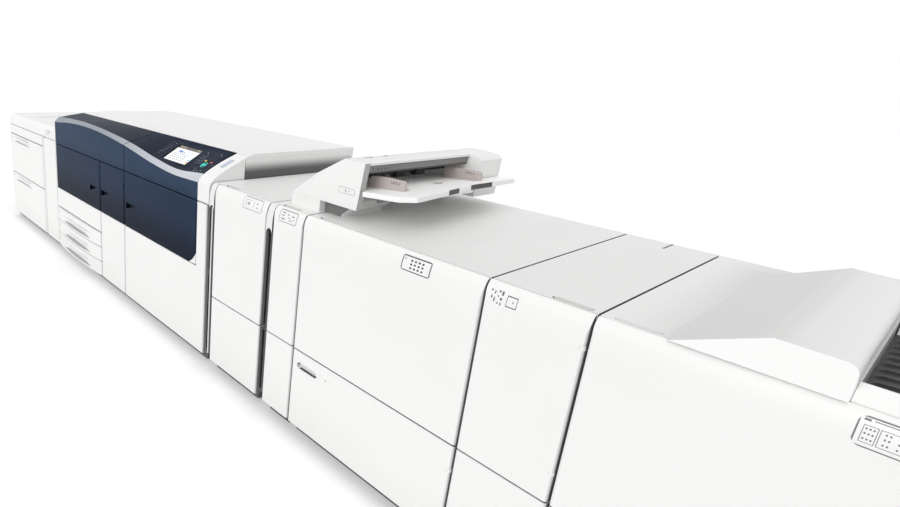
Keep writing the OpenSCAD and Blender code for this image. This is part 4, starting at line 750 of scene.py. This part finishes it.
# The grey plate on the head's face is partly its grey fascia with small marks, partly painted shade under the
# lid
fascia_low = (None, head_low.y + 0.006, head_high.z - 0.0475)
fascia_high = (None, head_high.y - 0.006, head_high.z - 0.0145)
fascia_marks = [(0.05, 0.056, 0.3, 0.7), (0.085, 0.10, 0.35, 0.6), (0.12, 0.128, 0.3, 0.65),
                (0.15, 0.165, 0.4, 0.6), (0.185, 0.192, 0.35, 0.7), (0, 1, 0, 0.2), (0, 1, 0.9, 1)]
fascia = printed("head_fascia", "white_panel", (134, 134, 133), (66, 66, 66), fascia_low, fascia_high,
                 (1, 2), fascia_marks)
inlaid("head_fascia", "inserter_head", fascia, fascia_low, fascia_high, (1, 0, -0.1), raised=0.001)
front_plate("pod_sign", "inserter_near_pod", left=0.265, breadth=0.084, down=0.109, height=0.024,
            ink=(140, 140, 140), marks=[(0.40, 0.46, 0.35, 0.7), (0.62, 0.67, 0.4, 0.65)],
            rim=0.0012, corner=0.004)
scale_marks = [(0, 0.06, 0.2, 1), (0.2, 0.4, 0.4, 0.8), (0.5, 0.7, 0.4, 0.8), (0.94, 1, 0.2, 1),
               (0, 1, 0, 0.14)]
for guide, scale_left in (("near_guide", 0.113), ("far_guide", 0.104)):
    front_plate(guide + "_scale", guide, left=scale_left, breadth=0.040, down=0.007, height=0.011,
                ink=(96, 90, 88), marks=scale_marks, rim=0, ground=tan, corner=0.001, slot="guide_plastic")


def top_plate(name, node, left, right, near, far, ink, marks, rim=0, corner=0.002, raised=0.0002):
    """A printed plate on a top face."""
    low, high = (left, near, None), (right, far, None)
    sheet = printed(name, "white_panel", (248, 248, 247), ink, low, high, (0, 1), marks, rim)
    inlaid(name, node, sheet, low, high, (0, 0, 1), corner, raised)


top_plate("lid_mark_1", "inserter_head", left=head_high.x - 0.104, right=head_high.x - 0.082,
          near=head_low.y + 0.0787, far=head_low.y + 0.1197, ink=(120, 120, 120),
          marks=[(0.1, 0.9, 0.18, 0.34), (0.1, 0.9, 0.66, 0.82)], rim=0.004, corner=0.010)
top_plate("lid_mark_2", "inserter_head", left=head_high.x - 0.102, right=head_high.x - 0.088,
          near=head_low.y + 0.1917, far=head_low.y + 0.2177, ink=(92, 92, 92),
          marks=[(0.2, 0.8, 0.2, 0.8)], rim=0.003, corner=0.006)
tray_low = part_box("inserter_tray")[0]
tray_mark_left, tray_mark_near = 1.185, tray_low.y + 0.381
top_plate("tray_mark", "inserter_tray", left=tray_mark_left, right=tray_mark_left + 0.050,
          near=tray_mark_near, far=tray_mark_near + 0.080, ink=(150, 150, 150),
          marks=[(0.4, 0.6, 0.1, 0.9), (0.2, 0.4, 0.40, 0.60), (0.6, 0.8, 0.40, 0.60)])

# Two dark plates on the tray's edge, where it shows two dark notches
for notch, near, far in (("1", 0.281, 0.366), ("2", 0.471, 0.631)):
    inlaid("tray_notch_" + notch, "inserter_tray", dark_plastic, (None, tray_low.y + near, None),
           (None, tray_low.y + far, None), (1, 0, 0.1), raised=0.0004)

# The stacker, the folder and the finisher
# Three deeper steel cabinets with moulded doors in the same style, and the finisher's hood and output
# well at the far end. Each carries a printed chart on its rolled edge.
steel = Finish("sheet_steel", Metallic=0.9)
steel.feed("Base Color", steel.mottled(12, (186, 188, 190), (170, 172, 175), 3))
steel.feed("Roughness", steel.clouds(300, 2, (1, 0.03, 1)) * 0.15 + 0.3)
steel.grain(steel.clouds(500, 2, (1, 0.03, 1)), 0.0001)

for unit in ("stacker", "folder", "finisher"):
    paint(unit + "_frame", frame_grey)
dressed("stacker_upper_door", front, 0.003)
dressed("stacker_lower_door", front, 0.003)
dressed("stacker_platform", steel, 0.001)
dressed("folder_door", front, 0.003)
dressed("finisher_door", front, 0.003)

# The finisher's lid gets painted shade towards the middle of its length and is whiter on its front edge
lid_coat = {"lumps": 12, "varied": 0.12, "least": 0.38, "grains": 520, "depth": 0.00018}
far_lid = Finish("finisher_lid", slot="top_cover_grey")
far_along = far_lid.shares(*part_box("finisher_top_cover"), (0,))[0]
far_lit = far_lid.most(far_lid.between(far_along, 0.42, 0.05), far_lid.between(far_along, 0.62, 0.80))
far_plain = far_lid.blend(far_lit, shade(222, 222, 221), shade(239, 239, 238))
far_front = far_lid.between(far_lid.way(1, "Normal"), -0.25, -0.5)
far_lid.coat(far_lid.blend(far_front, far_plain, shade(250, 250, 249)), **lid_coat)
dressed("finisher_top_cover", far_lid, 0.003)
dressed("finisher_rail", white, 0.002)
dressed("finisher_output_tray", dark_plastic, 0.001)

chart_cells = [(left, left + 0.07, foot, foot + 0.12) for left in (0.30, 0.43, 0.56, 0.69)
               for foot in (0.2, 0.45, 0.68)]
front_plate("stacker_chart", "stacker_upper_door", left=0.485, breadth=0.113, down=0.012, height=0.051,
            ink=(74, 74, 74), marks=chart_cells + [(0.08, 0.12, 0.74, 0.82)], rim=0.0035)
front_plate("stacker_symbol", "stacker_lower_door", left=0.170, breadth=0.068, down=0.040, height=0.026,
            ink=(188, 188, 188), marks=[(0.0, 0.02, 0.3, 1), (0.42, 0.50, 0.3, 0.6), (0.5, 0.56, 0.2, 0.5)],
            rim=0, corner=0.004)
folder_marks = [(0.04, 0.10, 0.72, 0.80), (0.16, 0.20, 0.60, 0.76), (0.08, 0.12, 0.34, 0.50),
                (0.17, 0.21, 0.20, 0.44), (0.28, 0.34, 0.74, 0.84), (0.38, 0.44, 0.62, 0.84),
                (0.27, 0.31, 0.50, 0.58), (0.36, 0.42, 0.36, 0.50), (0.28, 0.33, 0.14, 0.22),
                (0.38, 0.42, 0.10, 0.24)]
folder_frame_mark = [(0.56, 0.88, 0.68, 0.74), (0.56, 0.88, 0.14, 0.20), (0.56, 0.58, 0.14, 0.74),
                     (0.86, 0.88, 0.14, 0.74), (0.74, 0.77, 0.40, 0.50)]
front_plate("folder_chart", "folder_door", left=0.012, breadth=0.098, down=0.010, height=0.056,
            ink=(104, 104, 104), marks=folder_marks + folder_frame_mark, rim=0, corner=0.006)
finisher_marks = [(0.03, 0.07, 0.86, 0.93), (0.09, 0.34, 0.89, 0.92), (0.04, 0.13, 0.72, 0.74),
                  (0.04, 0.13, 0.16, 0.18), (0.04, 0.045, 0.16, 0.74), (0.125, 0.13, 0.16, 0.74),
                  (0.14, 0.96, 0.72, 0.74), (0.14, 0.96, 0.16, 0.18), (0.14, 0.145, 0.16, 0.74)]
finisher_lefts = (0.055, 0.078, 0.101, 0.17, 0.195, 0.25, 0.275, 0.34, 0.365, 0.44, 0.52, 0.60, 0.68, 0.76)
finisher_marks += [(left, left + 0.012, foot, foot + 0.06) for foot in (0.26, 0.44, 0.60)
                   for left in finisher_lefts]
front_plate("finisher_chart", "finisher_door", left=0.474, breadth=0.230, down=0.009, height=0.059,
            ink=(112, 112, 112), marks=finisher_marks, rim=0.0025, corner=0.014)

# Common covers
# The low units share one kind of moulded lid, one kind of lower panel, steel levelling feet, dark
# plinths and pressed rear covers, all screwed to their frames.
base_grey = Finish("base_grey")
base_grey.coat(base_grey.mottled(6, (98, 98, 98), (84, 84, 84), 3),
               lumps=30, varied=0.15, least=0.5, grains=400, depth=0.0002, detail=3)

# The lids get painted light in their grip slots and painted shade on the sides that meet in the joints
lid_grey = Finish("top_cover_grey")
covers_far_y, covers_top_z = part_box("top_covers")[1].yz
lid_slot_light = lid_grey.between(lid_grey.way(2), covers_top_z - 0.002, covers_top_z - 0.004) * lid_grey.between(
    lid_grey.way(2, "Normal"), 0.9, 0.98)
lid_plain = lid_grey.mottled(3.1, (240, 240, 239), (233, 233, 232), 3)
lid_tops = lid_grey.blend(lid_slot_light, lid_plain, shade(254, 254, 253))
lid_grey.coat(lid_grey.blend(lid_grey.turned(0, 0.8, 0.98), lid_tops, shade(92, 92, 92)), **lid_coat)

dressed("top_covers", lid_grey, 0.003)
folder_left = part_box("folder_door")[0].x
top_plate("folder_lid_mark", "top_covers", left=folder_left + 0.147, right=folder_left + 0.154,
          near=covers_far_y - 0.101, far=covers_far_y - 0.003, ink=(60, 60, 60), marks=[(0, 1, 0, 1)],
          corner=0, raised=0.0003)
dressed("lower_front_panels", front, 0.003)
dressed("levelling_feet", steel, 0.001)

# The rear covers and the plinths are one CAD node, parted here by the plane of the covers
rear_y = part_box("plinths_and_rear_covers")[1].y - 0.016
plinths = loose("plinths_and_rear_covers_finished", "plinths_and_rear_covers")
picked(plinths, lambda face: face.center.y > rear_y)
bpy.ops.mesh.separate(type="SELECTED")
bpy.ops.object.mode_set(mode="OBJECT")
rear_covers = [shape for shape in bpy.context.selected_objects if shape != plinths][0]
rear_covers.name = "rear_covers"
finished(rear_covers, "plinths_and_rear_covers", white, 0.001)
finished(plinths, "plinths_and_rear_covers", base_grey, 0.002)
